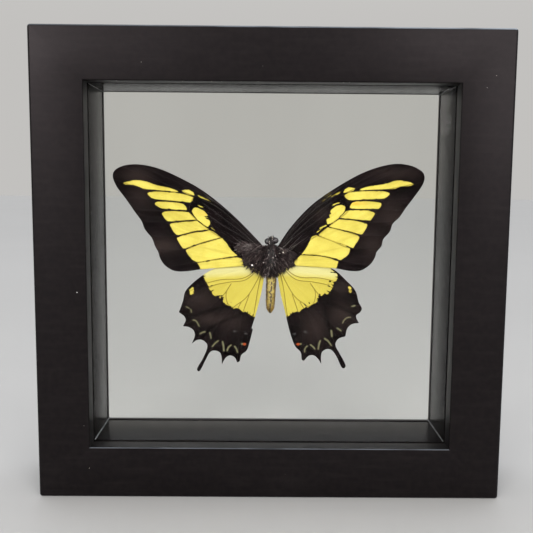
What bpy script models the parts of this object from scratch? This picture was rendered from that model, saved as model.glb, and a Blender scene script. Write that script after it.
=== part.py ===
"""Framed butterfly specimen: a black wooden box frame, glazed front and back, with a
spread swallowtail floating between the two panes.

Metres, +Z up. Seen from the front (looking along +Y) the specimen's left side is -X.
The origin is the middle of the bounding box's bottom face, on the surface it stands on.
Heights and depths below are measured from the bottom rail's underside and back from the
frame's front face.
"""
import math

import bmesh
import bpy
from mathutils import Matrix, Vector

MM = 0.001
GAP = 0.0003                # clearance between pieces that touch
MERGE = 0.00001             # welds a curve's caps to its sides

# Frame
SIDE = 0.200                # outer width and height
DEPTH = 0.0425              # front face to back face
RAIL_WIDTH = 0.0223         # outer edge to the opening
REBATE = 0.0050             # how far the rebate is cut back from the opening
LIP = 0.0075                # wood in front of the front pane
GLASS = 0.0020
RETAINER = 0.0023           # thickness of the strips that hold the rear pane
OUTER_ROUND = 0.0011
INNER_ROUND = 0.0004
ARC_STEPS = 5

# Hanger on the back of the top rail
HANGER_LENGTH = 0.046
HANGER_HEIGHT = 0.0085
HANGER_PLATE = 0.0008
HANGER_TEETH = 11
TOOTH = 0.0014              # height of a tooth
TOOTH_PITCH = 0.0021
NAIL_HEAD_RADIUS = 0.0017
NAIL_HEAD = 0.0006          # depth of the countersunk head
NAIL_SUNK = 0.0001          # the head lies this far below the plate's face
NAIL_RADIUS = 0.0007
NAIL_POINT = 0.0014
NAIL_LENGTH = 0.0100
NAIL_SPREAD = 0.0195        # each nail's distance from the hanger's middle

# Specimen
BODY_X = 0.0002
BODY_Z = 0.104              # height of the wing roots' middle
WING_DEPTH = 0.0200         # forewings' middle plane, behind the front face
HINDWING_STEP = 0.0007      # hindwings lie this far behind the forewings
WING_THICKNESS = 0.00035
BODY_AXIS_DEPTH = 0.0215
BODY_FLATTENING = 1.15      # depth of the body over its width
BODY_HALF_DEPTH = 0.0046    # at its thickest
POST_RADIUS = 0.0025
POST_DROP = 0.0010          # the post's axis is this far below the wing roots' middle

# Derived
OPENING = SIDE - 2 * RAIL_WIDTH
FRONT_Y = -(DEPTH + GAP + HANGER_PLATE) / 2
CENTRE_Z = SIDE / 2
FRONT_GLASS_DEPTH = LIP + GAP
SPACER_FRONT = FRONT_GLASS_DEPTH + GLASS + GAP
RETAINER_FRONT = DEPTH - RETAINER
REAR_GLASS_DEPTH = RETAINER_FRONT - GAP - GLASS
SPACER_BACK = REAR_GLASS_DEPTH - GAP
STRIP_WIDTH = REBATE - GAP
HANGER_Z = SIDE - RAIL_WIDTH / 2
HANGER_FRONT = DEPTH + GAP
NAIL_TIP = HANGER_FRONT + HANGER_PLATE - NAIL_SUNK - NAIL_LENGTH
MITRE_GAP = GAP / math.sqrt(2)
SMOOTH_BELOW = math.radians(35)

# Wing outlines in millimetres: x from the frame's middle, z from the wing roots' middle.
# A third value marks a sharp corner; the other points lie on smooth curves.
CORNER = True
FOREWING_LEFT = [
    (-4.3, 5.6, CORNER), (-9.8, 11.3), (-19.2, 20.3), (-30.3, 28.9), (-40.9, 34.7),
    (-50.9, 38.8), (-59.8, 40.2), (-66.8, 39.0), (-70.0, 36.0), (-68.7, 30.9),
    (-64.5, 25.1), (-60.2, 18.9), (-57.4, 15.0), (-56.2, 11.7), (-52.9, 7.5),
    (-51.6, 4.0), (-50.2, 1.5), (-49.4, -1.3), (-47.2, -4.5), (-43.1, -6.9),
    (-38.0, -7.1), (-31.4, -6.2), (-16.4, -4.9), (-4.3, -3.6, CORNER),
]
FOREWING_RIGHT = [
    (4.7, 6.9, CORNER), (8.0, 12.0), (14.1, 19.2), (20.2, 24.8), (31.3, 32.3),
    (42.4, 38.1), (53.6, 41.2), (61.5, 40.6), (66.7, 38.0), (67.9, 35.3),
    (66.9, 31.9), (63.0, 26.2), (59.7, 21.7), (57.2, 17.9), (54.2, 14.9),
    (53.0, 11.4), (50.1, 7.9), (49.5, 5.0), (47.3, 2.2), (46.7, 0.0),
    (44.8, -3.2), (40.5, -6.1), (36.0, -6.4), (29.0, -5.3), (16.0, -4.5),
    (4.7, -3.6, CORNER),
]
HINDWING_LEFT = [
    (-4.3, 0.6, CORNER), (-14.0, -1.8), (-26.7, -6.6), (-33.8, -11.5), (-38.2, -16.2),
    (-39.3, -20.5), (-41.2, -25.8, CORNER), (-38.9, -27.6), (-38.3, -29.6),
    (-39.4, -32.2, CORNER), (-36.6, -32.7), (-34.3, -34.8), (-34.2, -37.5),
    (-35.4, -40.2, CORNER), (-32.6, -38.4), (-29.6, -39.2), (-28.3, -41.6),
    (-30.4, -47.3), (-32.9, -52.0), (-32.2, -52.9), (-31.3, -51.8), (-29.0, -47.2),
    (-27.0, -44.0), (-24.8, -43.4), (-22.3, -44.9), (-21.7, -49.7, CORNER),
    (-20.2, -46.9), (-18.2, -45.6), (-16.0, -46.5), (-14.8, -48.8, CORNER),
    (-13.7, -48.2), (-12.9, -45.3), (-10.5, -43.2), (-9.2, -39.3), (-8.0, -34.4),
    (-7.8, -33.2, CORNER), (-8.4, -32.9, CORNER), (-6.8, -27.6), (-4.6, -19.0),
    (-3.4, -12.5), (-3.2, -8.6), (-4.3, -6.4, CORNER),
]
HINDWING_RIGHT = [
    (4.7, 0.6, CORNER), (14.5, -1.6), (27.8, -5.6), (34.8, -11.5), (38.4, -15.6),
    (39.9, -20.6), (41.6, -24.6), (40.6, -25.4, CORNER), (38.9, -27.0),
    (40.2, -30.2, CORNER), (37.0, -30.8), (35.1, -32.7), (34.2, -36.4, CORNER),
    (31.0, -37.6), (29.8, -40.4), (31.4, -43.8), (34.4, -49.9), (33.8, -51.1),
    (32.9, -50.6), (30.5, -45.8), (28.0, -42.8), (25.6, -42.4), (23.6, -44.1),
    (23.4, -49.2, CORNER), (22.0, -47.0), (20.1, -45.4), (17.8, -45.5),
    (15.5, -47.9, CORNER), (14.6, -47.2), (14.0, -43.9), (11.6, -41.3), (9.8, -37.1),
    (8.1, -31.2), (6.8, -25.6), (4.6, -17.1), (3.6, -11.0), (3.5, -8.8),
    (4.7, -6.4, CORNER),
]
# Half the body's width against height, head first, in millimetres.
BODY_PROFILE = [
    (0.0, 9.2), (0.9, 9.0), (2.2, 8.3), (2.8, 7.1), (2.5, 6.0), (1.9, 5.1), (2.7, 4.2),
    (3.7, 2.2), (4.0, -0.8), (3.9, -4.4), (3.2, -7.4), (2.4, -9.4), (2.3, -14.0),
    (2.1, -20.0), (1.9, -23.4), (1.2, -25.3), (0.0, -26.1),
]
BODY_TURNS = 20
POST_SIDES = 24
NAIL_SIDES = 16
WING_CURVE_STEPS = 3


def clear_scene():
    for item in list(bpy.data.objects):
        bpy.data.objects.remove(item)


def make_material(name, colour, roughness, metallic=0.0, transmission=0.0):
    material = bpy.data.materials.new(name)
    material.use_nodes = True
    shader = material.node_tree.nodes["Principled BSDF"]
    shader.inputs["Base Color"].default_value = (*colour, 1.0)
    shader.inputs["Roughness"].default_value = roughness
    shader.inputs["Metallic"].default_value = metallic
    shader.inputs["Transmission Weight"].default_value = transmission
    return material


def make_collection(name):
    collection = bpy.data.collections.new(name)
    bpy.context.scene.collection.children.link(collection)
    return collection


def add_object(name, mesh, material, collection, location=(0, 0, 0)):
    item = bpy.data.objects.new(name, mesh)
    item.location = location
    mesh.materials.append(material)
    mesh.shade_smooth()
    mesh.set_sharp_from_angle(angle=SMOOTH_BELOW)
    collection.objects.link(item)
    return item


def mesh_from_bmesh(name, shape):
    bmesh.ops.recalc_face_normals(shape, faces=shape.faces)
    mesh = bpy.data.meshes.new(name)
    shape.to_mesh(mesh)
    shape.free()
    return mesh


def box_mesh(name, size):
    shape = bmesh.new()
    bmesh.ops.create_cube(shape, size=1.0)
    bmesh.ops.scale(shape, vec=size, verts=shape.verts)
    return mesh_from_bmesh(name, shape)


def plate_mesh(name, points, thickness, smooth_steps=1):
    """A flat outline in X and Y, given thickness along Z. Points are (x, y) on a smooth
    curve, or (x, y, True) at a sharp corner."""
    curve = bpy.data.curves.new(name, "CURVE")
    curve.dimensions = "2D"
    curve.fill_mode = "BOTH"
    curve.extrude = thickness / 2
    curve.resolution_u = smooth_steps
    spline = curve.splines.new("BEZIER")
    spline.bezier_points.add(len(points) - 1)
    spline.use_cyclic_u = True
    for knot, point in zip(spline.bezier_points, points):
        handle = "VECTOR" if len(point) > 2 else "AUTO"
        knot.co = (point[0], point[1], 0.0)
        knot.handle_left_type = handle
        knot.handle_right_type = handle
    holder = bpy.data.objects.new(name, curve)
    bpy.context.scene.collection.objects.link(holder)
    bpy.context.view_layer.update()
    evaluated = holder.evaluated_get(bpy.context.evaluated_depsgraph_get())
    flat = bpy.data.meshes.new_from_object(evaluated)
    bpy.data.objects.remove(holder)
    shape = bmesh.new()
    shape.from_mesh(flat)
    bmesh.ops.remove_doubles(shape, verts=shape.verts, dist=MERGE)
    return mesh_from_bmesh(name, shape)


def rounded_corner(x, y, radius, start_degrees):
    """Points of a quarter circle about a corner's centre, going anticlockwise."""
    points = []
    for step in range(ARC_STEPS + 1):
        angle = math.radians(start_degrees + 90 * step / ARC_STEPS)
        points.append((x + radius * math.cos(angle), y + radius * math.sin(angle), CORNER))
    return points


def rail_section():
    """The rail's section: x from the outer edge to the opening, y from front to back."""
    big, small = OUTER_ROUND, INNER_ROUND
    points = rounded_corner(big, big, big, 180)
    points += rounded_corner(RAIL_WIDTH - small, small, small, 270)
    points += [(RAIL_WIDTH, LIP, CORNER), (RAIL_WIDTH - REBATE, LIP, CORNER)]
    points += [(RAIL_WIDTH - REBATE, DEPTH, CORNER)]
    points += rounded_corner(big, DEPTH - big, big, 90)
    return points


def mitre(shape, point, normal):
    """Cuts away what lies beyond a slanted plane, and closes the cut."""
    everything = shape.verts[:] + shape.edges[:] + shape.faces[:]
    cut = bmesh.ops.bisect_plane(
        shape, geom=everything, dist=MERGE, plane_co=point, plane_no=normal, clear_outer=True
    )
    edges = [part for part in cut["geom_cut"] if isinstance(part, bmesh.types.BMEdge)]
    bmesh.ops.holes_fill(shape, edges=edges, sides=0)


def bottom_rail_mesh():
    """One rail with mitred ends, lying along X, its outer edge at z = 0."""
    section = plate_mesh("rail_section", rail_section(), SIDE)
    shape = bmesh.new()
    shape.from_mesh(section)
    bpy.data.meshes.remove(section)
    section_to_rail = Matrix(((0, 0, 1, 0), (0, 1, 0, 0), (1, 0, 0, 0), (0, 0, 0, 1)))
    bmesh.ops.transform(shape, matrix=section_to_rail, verts=shape.verts)
    for side in (-1, 1):
        corner = Vector((side * (SIDE / 2 - MITRE_GAP), 0, 0))
        mitre(shape, corner, Vector((side, 0, 1)).normalized())
    return mesh_from_bmesh("rail", shape)


def turned_about_centre(mesh, quarter_turns):
    """The bottom piece's mesh, carried round the frame's middle to another side."""
    turned = mesh.copy()
    centre = Vector((0, 0, CENTRE_Z))
    turn = Matrix.Rotation(-math.pi / 2 * quarter_turns, 4, "Y")
    turned.transform(Matrix.Translation(centre) @ turn @ Matrix.Translation(-centre))
    return turned


def build_rails(material, collection):
    rail = bottom_rail_mesh()
    rails = {}
    for turns, side in enumerate(("bottom", "right", "top", "left")):
        name = "rail_" + side
        mesh = turned_about_centre(rail, turns)
        rails[side] = add_object(name, mesh, material, collection, (0, FRONT_Y, 0))
    bpy.data.meshes.remove(rail)
    return rails


def build_pane(name, depth, material, collection):
    side = OPENING + 2 * (REBATE - GAP)
    place = (0, FRONT_Y + depth + GLASS / 2, CENTRE_Z)
    return add_object(name, box_mesh(name, (side, GLASS, side)), material, collection, place)


def build_strips(prefix, front, back, material, collection):
    """Four square-cut strips lining the rebate: top and bottom run right across, and the
    two side strips stand between them."""
    middle = FRONT_Y + (front + back) / 2
    across = OPENING + 2 * STRIP_WIDTH
    offset = (OPENING + STRIP_WIDTH) / 2
    upright = OPENING - 2 * GAP
    for side, sign in (("bottom", -1), ("top", 1)):
        name = prefix + "_" + side
        mesh = box_mesh(name, (across, back - front, STRIP_WIDTH))
        add_object(name, mesh, material, collection, (0, middle, CENTRE_Z + sign * offset))
    for side, sign in (("left", -1), ("right", 1)):
        name = prefix + "_" + side
        mesh = box_mesh(name, (STRIP_WIDTH, back - front, upright))
        add_object(name, mesh, material, collection, (sign * offset, middle, CENTRE_Z))


def build_wing(name, outline, depth, material, collection):
    points = [(point[0] * MM, point[1] * MM, *point[2:]) for point in outline]
    mesh = plate_mesh(name, points, WING_THICKNESS, WING_CURVE_STEPS)
    mesh.transform(Matrix.Rotation(math.pi / 2, 4, "X"))
    return add_object(name, mesh, material, collection, (0, FRONT_Y + depth, BODY_Z))


def build_body(material, collection):
    profile = bpy.data.meshes.new("butterfly_body")
    points = [(radius * MM, 0.0, height * MM) for radius, height in BODY_PROFILE]
    edges = [(index, index + 1) for index in range(len(points) - 1)]
    profile.from_pydata(points, edges, [])
    place = (BODY_X, FRONT_Y + BODY_AXIS_DEPTH, BODY_Z)
    body = add_object("butterfly_body", profile, material, collection, place)
    body.scale = (1.0, BODY_FLATTENING, 1.0)
    screw = body.modifiers.new("turn", "SCREW")
    screw.steps = BODY_TURNS
    screw.render_steps = BODY_TURNS
    screw.use_merge_vertices = True
    screw.merge_threshold = MERGE
    screw.use_normal_calculate = True
    screw.use_smooth_shade = True
    return body


def build_post(material, collection):
    """A clear rod along Y, from the body's back to the rear pane."""
    front = BODY_AXIS_DEPTH + BODY_HALF_DEPTH + GAP
    length = SPACER_BACK - front
    shape = bmesh.new()
    bmesh.ops.create_cone(
        shape, cap_ends=True, segments=POST_SIDES,
        radius1=POST_RADIUS, radius2=POST_RADIUS, depth=length,
    )
    bmesh.ops.rotate(shape, verts=shape.verts, matrix=Matrix.Rotation(math.pi / 2, 3, "X"))
    mesh = mesh_from_bmesh("mounting_post", shape)
    place = (BODY_X, FRONT_Y + front + length / 2, BODY_Z - POST_DROP)
    return add_object("mounting_post", mesh, material, collection, place)


def hanger_outline():
    """A plate with a straight top edge and teeth along its bottom edge."""
    half, top = HANGER_LENGTH / 2, HANGER_HEIGHT / 2
    points = [(half, top, CORNER), (-half, top, CORNER), (-half, -top, CORNER)]
    run = HANGER_TEETH * TOOTH_PITCH
    for tooth in range(HANGER_TEETH):
        left = -run / 2 + tooth * TOOTH_PITCH
        points.append((left, -top, CORNER))
        points.append((left + TOOTH_PITCH / 2, -top + TOOTH, CORNER))
    points.append((run / 2, -top, CORNER))
    points.append((half, -top, CORNER))
    return points


def nail_mesh(name, grown=0.0):
    """A countersunk nail along Y, its point at y = 0. Grown all round and run on past its
    head, it is the cutter for its own hole."""
    shank, head = NAIL_RADIUS + grown, NAIL_HEAD_RADIUS + grown
    profile = [
        (0.0, -grown), (shank, NAIL_POINT - grown), (shank, NAIL_LENGTH - NAIL_HEAD),
        (head, NAIL_LENGTH), (0.0, NAIL_LENGTH),
    ]
    if grown:
        profile[-1:] = [(head, NAIL_LENGTH + grown), (0.0, NAIL_LENGTH + grown)]
    shape = bmesh.new()
    knots = [shape.verts.new((radius, along, 0.0)) for radius, along in profile]
    edges = [shape.edges.new(pair) for pair in zip(knots, knots[1:])]
    bmesh.ops.spin(
        shape, geom=knots + edges, axis=(0, 1, 0), cent=(0, 0, 0),
        angle=2 * math.pi, steps=NAIL_SIDES,
    )
    bmesh.ops.remove_doubles(shape, verts=shape.verts, dist=MERGE)
    return mesh_from_bmesh(name, shape)


def cut(item, cutter):
    boolean = item.modifiers.new("cut_" + cutter.name, "BOOLEAN")
    boolean.operation = "DIFFERENCE"
    boolean.solver = "EXACT"
    boolean.object = cutter


def build_hanger(rail, material, collection, cutters):
    """The toothed hanger and its two nails, which run through it into the top rail."""
    mesh = plate_mesh("sawtooth_hanger", hanger_outline(), HANGER_PLATE)
    mesh.transform(Matrix.Rotation(math.pi / 2, 4, "X"))
    place = (0, FRONT_Y + HANGER_FRONT + HANGER_PLATE / 2, HANGER_Z)
    hanger = add_object("sawtooth_hanger", mesh, material, collection, place)
    for side, sign in (("left", -1), ("right", 1)):
        place = (sign * NAIL_SPREAD, FRONT_Y + NAIL_TIP, HANGER_Z)
        nail = "hanger_nail_" + side
        add_object(nail, nail_mesh(nail), material, collection, place)
        hole = "nail_hole_" + side
        cutter = add_object(hole, nail_mesh(hole, GAP), material, cutters, place)
        cutter.hide_render = True
        cutter.display_type = "WIRE"
        cut(rail, cutter)
        cut(hanger, cutter)


def main():
    clear_scene()
    collection = make_collection("framed_butterfly_specimen")
    cutters = make_collection("cutters")
    black = make_material("black_lacquered_wood", (0.016, 0.015, 0.015), 0.35)
    clear = make_material("clear_glass", (0.95, 0.97, 0.96), 0.02, transmission=1.0)
    steel = make_material("plated_steel", (0.55, 0.55, 0.52), 0.35, metallic=1.0)
    brown_black = make_material("black_scaled_fur", (0.020, 0.014, 0.014), 0.85)
    yellow = make_material("yellow_and_black_scales", (0.80, 0.68, 0.13), 0.75)

    rails = build_rails(black, collection)
    build_pane("front_glass", FRONT_GLASS_DEPTH, clear, collection)
    build_pane("rear_glass", REAR_GLASS_DEPTH, clear, collection)
    build_strips("spacer", SPACER_FRONT, SPACER_BACK, black, collection)
    build_strips("retainer", RETAINER_FRONT, DEPTH, black, collection)
    build_body(brown_black, collection)
    hind = WING_DEPTH + HINDWING_STEP
    build_wing("forewing_left", FOREWING_LEFT, WING_DEPTH, yellow, collection)
    build_wing("forewing_right", FOREWING_RIGHT, WING_DEPTH, yellow, collection)
    build_wing("hindwing_left", HINDWING_LEFT, hind, yellow, collection)
    build_wing("hindwing_right", HINDWING_RIGHT, hind, yellow, collection)
    build_post(clear, collection)
    build_hanger(rails["top"], steel, collection, cutters)


main()
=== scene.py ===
"""Looks of the framed butterfly specimen.

Wing shapes and markings are in millimetres: x from the frame's middle, to the right as
seen from the front, and z from the wing roots' middle. A point in square brackets is a
sharp corner. Everything else is in metres.
"""

import math

import bmesh
import bpy
import numpy as np
from mathutils import Matrix, Vector, noise
from mathutils.geometry import delaunay_2d_cdt


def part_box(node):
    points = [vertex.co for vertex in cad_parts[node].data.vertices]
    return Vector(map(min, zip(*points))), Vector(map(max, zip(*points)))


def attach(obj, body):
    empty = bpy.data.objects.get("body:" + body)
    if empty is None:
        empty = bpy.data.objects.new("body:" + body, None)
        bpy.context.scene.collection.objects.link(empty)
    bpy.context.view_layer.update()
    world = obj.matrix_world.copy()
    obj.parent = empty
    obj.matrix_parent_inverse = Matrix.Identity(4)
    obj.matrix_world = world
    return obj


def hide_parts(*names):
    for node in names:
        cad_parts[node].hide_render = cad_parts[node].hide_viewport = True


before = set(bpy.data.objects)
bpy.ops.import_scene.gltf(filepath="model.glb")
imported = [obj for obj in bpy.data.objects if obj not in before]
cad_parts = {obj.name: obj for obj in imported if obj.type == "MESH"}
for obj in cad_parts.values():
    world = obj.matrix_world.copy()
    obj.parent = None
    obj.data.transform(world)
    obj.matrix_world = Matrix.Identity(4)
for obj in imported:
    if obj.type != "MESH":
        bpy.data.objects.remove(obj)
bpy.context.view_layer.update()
noise.seed_set(5)  # noise_vector would otherwise take its offsets from the clock

MM = 0.001
RAYS_FROM = 3.0  # the scales' rays fan out from this far below the wing roots' middle
MARK_CURL = 0.5  # how much of a full curve the markings' outlines take between points
SIDES = ("bottom", "right", "top", "left")
GAP = 0.3 * MM  # the clearance that the CAD leaves between glued pieces
EDGE = 0.25 * MM  # the small rounding or chamfer on strips and rod
RAIL_STATIONS = 48
STRIP_STATIONS = 24
BEAD_STATIONS = 40
THORAX_TUFTS = 760
HEAD_TUFTS = 170
CAPE_TUFTS = 820

# Places read from the frame
RAIL_LOW, RAIL_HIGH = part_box("rail_bottom")
FRONT = RAIL_LOW.y
BACK = RAIL_HIGH.y
RAIL_WIDTH = RAIL_HIGH.z
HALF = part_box("rail_right")[1].x
CENTRE = Vector((0, 0, HALF))
OPENING_HALF = HALF - RAIL_WIDTH
GLASS_FRONT, GLASS_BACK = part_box("front_glass")
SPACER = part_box("spacer_bottom")
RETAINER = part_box("retainer_bottom")
REBATE_HALF = GLASS_BACK.x + GAP
BODY_LOW, BODY_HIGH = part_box("butterfly_body")
BODY_Y = (BODY_LOW.y + BODY_HIGH.y) / 2
BODY_Z = BODY_HIGH.z - 9.2 * MM
FOREWING_Y = (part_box("forewing_left")[0].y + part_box("forewing_left")[1].y) / 2
HINDWING_Y = (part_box("hindwing_left")[0].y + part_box("hindwing_left")[1].y) / 2

# ---------------------------------------------------------------- wing shapes
FOREWING_LEFT = [
    [-2.6, 3.7], (-9.8, 11.3), (-19.2, 20.3), (-30.3, 28.9), (-40.9, 34.7), (-50.9, 38.8), (-59.8, 40.2),
    (-66.8, 39), (-70, 36), (-68.7, 30.9), (-64.5, 25.1), (-60.2, 18.9), (-57.4, 15), (-56.2, 11.7),
    (-52.9, 7.5), (-51.6, 4), (-50.2, 1.5), (-49.4, -1.3), (-47.2, -4.5), (-43.1, -6.9), (-38, -7.1),
    (-31.4, -6.2), (-16.4, -4.9), [-2, -3.6],
]
FOREWING_RIGHT = [
    [3, 4.4], (8, 12), (14.1, 19.2), (20.2, 24.8), (31.3, 32.3), (42.4, 38.1), (53.6, 41.2), (61.5, 40.6),
    (66.7, 38), (67.9, 35.3), (66.9, 31.9), (63, 26.2), (59.7, 21.7), (57.2, 17.9), (54.2, 14.9),
    (53, 11.4), (50.1, 7.9), (49.5, 5), (47.3, 2.2), (46.7, 0), (44.8, -3.2), (40.5, -6.1), (36, -6.4),
    (29, -5.3), (16, -4.5), [2.4, -3.6],
]
HINDWING_LEFT = [
    [-2, 0.6], (-14, -1.8), (-26.7, -6.6), (-33.8, -11.5), (-38.2, -16.2), (-39.3, -20.5), (-39.9, -22.3),
    [-41.2, -25.8], (-38.9, -27.6), (-38.2, -29.4), [-39.4, -32.2], (-36.6, -32.7), (-34.5, -34.3),
    (-34.1, -36.6), [-35.4, -40.2], (-32.9, -38.5), (-30.2, -38.8), (-28.4, -41.2), (-30.3, -46.8),
    (-33.1, -52), (-32.3, -53.1), (-31.2, -51.9), (-28.9, -47.2), (-27, -44), (-24.8, -43.4),
    (-22.4, -44.7), [-21.7, -49.7], (-20.2, -46.9), (-18.2, -45.6), (-16, -46.5), [-14.8, -48.8],
    (-13.7, -48.2), (-12.9, -45.3), (-10.5, -43.2), (-9.2, -39.3), (-8, -34.4), [-7.8, -33.2],
    [-8.4, -32.9], (-6.8, -27.6), (-4.6, -19), (-3.3, -12.5), (-2.8, -8.6), [-2, -5.4],
]
HINDWING_RIGHT = [
    [2.4, 0.6], (14.5, -1.6), (27.8, -5.6), (34.8, -11.5), (38.4, -15.6), (39.9, -20.6), (41.4, -23.6),
    [40.6, -25.4], (38.9, -27), [40.2, -30.2], (37, -30.8), (35.1, -32.7), [34.2, -36.4], (31, -37.6),
    (29.8, -40.4), (31.5, -43.8), (34.6, -49.8), (33.9, -51.3), (32.7, -50.6), (30.4, -45.9), (28, -42.8),
    (25.6, -42.4), (23.6, -44.1), [23.4, -49.2], (22, -47), (20.1, -45.4), (17.8, -45.5), [15.5, -47.9],
    (14.6, -47.2), (14, -43.9), (11.6, -41.3), (9.8, -37.1), (8.1, -31.2), (6.8, -25.6), (4.6, -17.1),
    (3.5, -11), (3.1, -8.8), [2.4, -5.4],
]

# Yellow marks of the forewings: an apical streak, five bars down the wing, and the
# smaller marks in and about the cell.
FORE_MARKS_LEFT = [
    [(-65.5, 31.9), (-62.8, 32.9), (-58.7, 33.3), (-55.3, 32.7), (-50.3, 31), (-45.9, 30.2), (-42.6, 29.2),
     (-41, 28.2), (-46, 28.5), (-51.5, 29.1), (-56.4, 29.4), (-58.4, 30.3), (-61.2, 31.2), (-64.2, 31.2)],
    [[-39.6, 29], (-36.4, 29.2), (-34.6, 28.2), [-33.8, 26.7], (-36.4, 27), (-38.6, 27.8)],
    [(-32.5, 26.9), (-30.3, 26.1), [-28, 24.6], (-30.4, 25.4), (-32.3, 26.3)],
    [(-54.8, 27.4), (-53.1, 28.2), (-48, 28.3), (-41.5, 27.8), (-37, 26.8), [-34.4, 25.9], (-34.9, 24.3),
     [-35.9, 23.6], (-43.1, 24.3), (-50.9, 24.9), (-53.4, 25.7)],
    [(-51.6, 23), (-50.4, 23.8), (-46, 23.8), (-40.9, 23.4), (-38.8, 22.8), (-37.6, 21.4), [-37.3, 20.2],
     (-42, 20.4), (-48.4, 20.9), (-50.4, 21.6)],
    [(-48.6, 18.7), (-47, 19.5), (-43, 19.8), (-36.6, 19.3), (-35, 18), [-32.9, 16.1], (-38.7, 15.7),
     (-45.7, 15.2), (-47.4, 16.6)],
    [(-44.9, 13.8), (-43.1, 14.5), (-37, 15.2), [-32.7, 15.6], (-30.3, 13.7), [-27.4, 11.7], (-34.2, 10.9),
     (-41.5, 9.1), (-43.4, 10.6)],
    [(-41.8, 7.8), (-39.5, 8.9), (-33.7, 10.3), [-27, 11.4], (-24.8, 10.2), [-22.2, 8.2], (-28.7, 6.4),
     (-34.5, 4.6), (-38.9, 2.9), (-40.3, 4.6)],
    [(-37.8, 2.3), (-35, 4), (-29.8, 5.6), [-21.6, 8], (-19.6, 5.6), (-17.6, 2.6), [-14.8, 0.1],
     (-19.8, -0.7), (-32.6, -2.9), (-35.4, -1.5)],
    [[-32.9, -3.3], (-24.2, -1.8), [-14.8, -0.5], (-12.6, -1.6), (-12, -4.2), [-9, -6.5], [-30.8, -8],
     (-31.8, -5)],
    [(-35.1, 19.8), (-34.3, 21.2), (-32.8, 21.4), (-29.6, 19.8), [-28, 17.9], [-29.3, 17.4], [-27.7, 17],
     [-29, 16.6], (-27.2, 15.8), (-27.1, 14.1), [-28.1, 12.8], (-31, 14.6), (-33.6, 17)],
]
FORE_MARKS_RIGHT = [
    [(38.9, 29.6), (43.6, 31.4), (49.7, 32.3), (54.1, 33.8), (57, 34.1), (60.6, 33.5), (63.2, 32.6),
     (61, 31.6), (57.4, 31.4), (55, 30.4), (49.7, 30.1), (43, 29.8)],
    [[31.8, 28.3], (32.5, 29.9), (34.3, 30.9), [37.3, 30.4], (36, 29.2), (34, 28.7)],
    [[26.1, 26.3], (28, 27.8), (30.7, 28.9), (29.6, 27.8)],
    [[32.2, 27.3], (34.6, 28.6), (41.3, 29.2), (49.1, 29.3), (52.7, 28.2), (50.2, 26.1), (42.4, 25.6),
     (34.7, 25.2), (33.2, 26)],
    [(34.9, 22), (35.9, 24), (38, 24.8), (44.1, 24.7), (48.8, 24), (48.8, 22.6), (47.6, 21.5),
     (40.2, 21.4), (36, 21.4)],
    [[30.4, 17.5], (33.4, 20.3), (36.3, 20.8), (43, 20.7), (46.1, 19.5), (45.2, 17.6), (44, 16.2),
     (38, 16.7), (33, 17.1)],
    [[25.8, 13.6], (28, 15.3), [30.2, 16.7], (36.9, 16.2), (42.9, 14.5), (42.1, 12.2), (40.5, 10.1),
     (34.1, 11.6), (27.5, 12.9)],
    [[21.1, 9.7], (23, 11.4), [25.2, 13.1], (31.3, 11.7), (37.5, 10.1), (39.4, 8.8), (38.6, 6.6),
     [36.8, 3.9], (30.2, 6.2), (24, 8.4)],
    [[13.8, 0.9], (15.8, 3.7), (17.4, 7.2), (18.2, 8.8), (20.2, 9.5), (25.8, 7.6), (33.6, 4.8),
     (35.4, 3.6), (34.7, 0.9), (33, -0.5), [31.3, -1.6], (26.5, -0.2), (20.2, 0.8)],
    [[10.6, -2], [11.8, -0.6], [11.3, -1.4], [13.3, 0.6], (21.3, 0.3), (27, -0.8), [30.3, -2.2],
     (29.8, -4.2), [28.6, -7], [9, -6]],
    [[24.8, 15.6], (24.7, 16.6), [26, 17.4], [25.6, 18.8], [26.6, 19.2], (26.3, 20.3), (28.6, 22.4),
     (31.3, 23.1), (33, 22.2), (32.4, 20), (30.2, 17.4), (27.4, 15.3), (25.2, 14.2)],
]
# Strokes are open lines with a half width: thin dashes about the cells, and the
# greenish crescents in the hindwings' scallops.
FORE_STROKES_LEFT = [
    (0.09, [(-28.6, 25.3), (-26.8, 24)]), (0.24, [(-32.3, 22.3), (-30.3, 21.5)]),
    (0.12, [(-26.6, 12.6), (-25, 11.4)]),
]
FORE_STROKES_RIGHT = [
    (0.1, [(22.4, 24.4), (26.4, 27.4)]), (0.08, [(23.6, 26.6), (26.4, 28.6)]),
    (0.24, [(27.4, 22.9), (28.8, 23.6), (30.2, 24)]), (0.28, [(21.9, 12.6), (23.2, 13.3), (24.5, 13.9)]),
    (0.16, [(20.6, 10.9), (22.6, 12.4)]),
]
HIND_STROKES_LEFT = [
    (0.32, [(-38, -23.2), (-36.6, -24)]),
    (0.35, [(-35.8, -24.6), (-35.6, -25.9)]),
    (0.36, [(-34.9, -29.4), (-33.8, -29.5), (-32.9, -30.6), (-32.1, -32.2)]),
    (0.42, [(-31.6, -35.6), (-30.4, -34.9), (-29.4, -34.8)]),
    (0.42, [(-27.3, -35.2), (-26.9, -36.5), (-26.7, -37.6)]),
    (0.4, [(-26.1, -41.5), (-24.9, -40), (-23.5, -38.9)]),
    (0.44, [(-21.5, -39.3), (-21.1, -41.2), (-20.9, -43.3)]),
    (0.4, [(-19.4, -43.4), (-18.8, -41.8), (-17.6, -40.8)]),
    (0.42, [(-16, -41.4), (-15.2, -42.5), (-14.7, -44)]),
]
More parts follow.
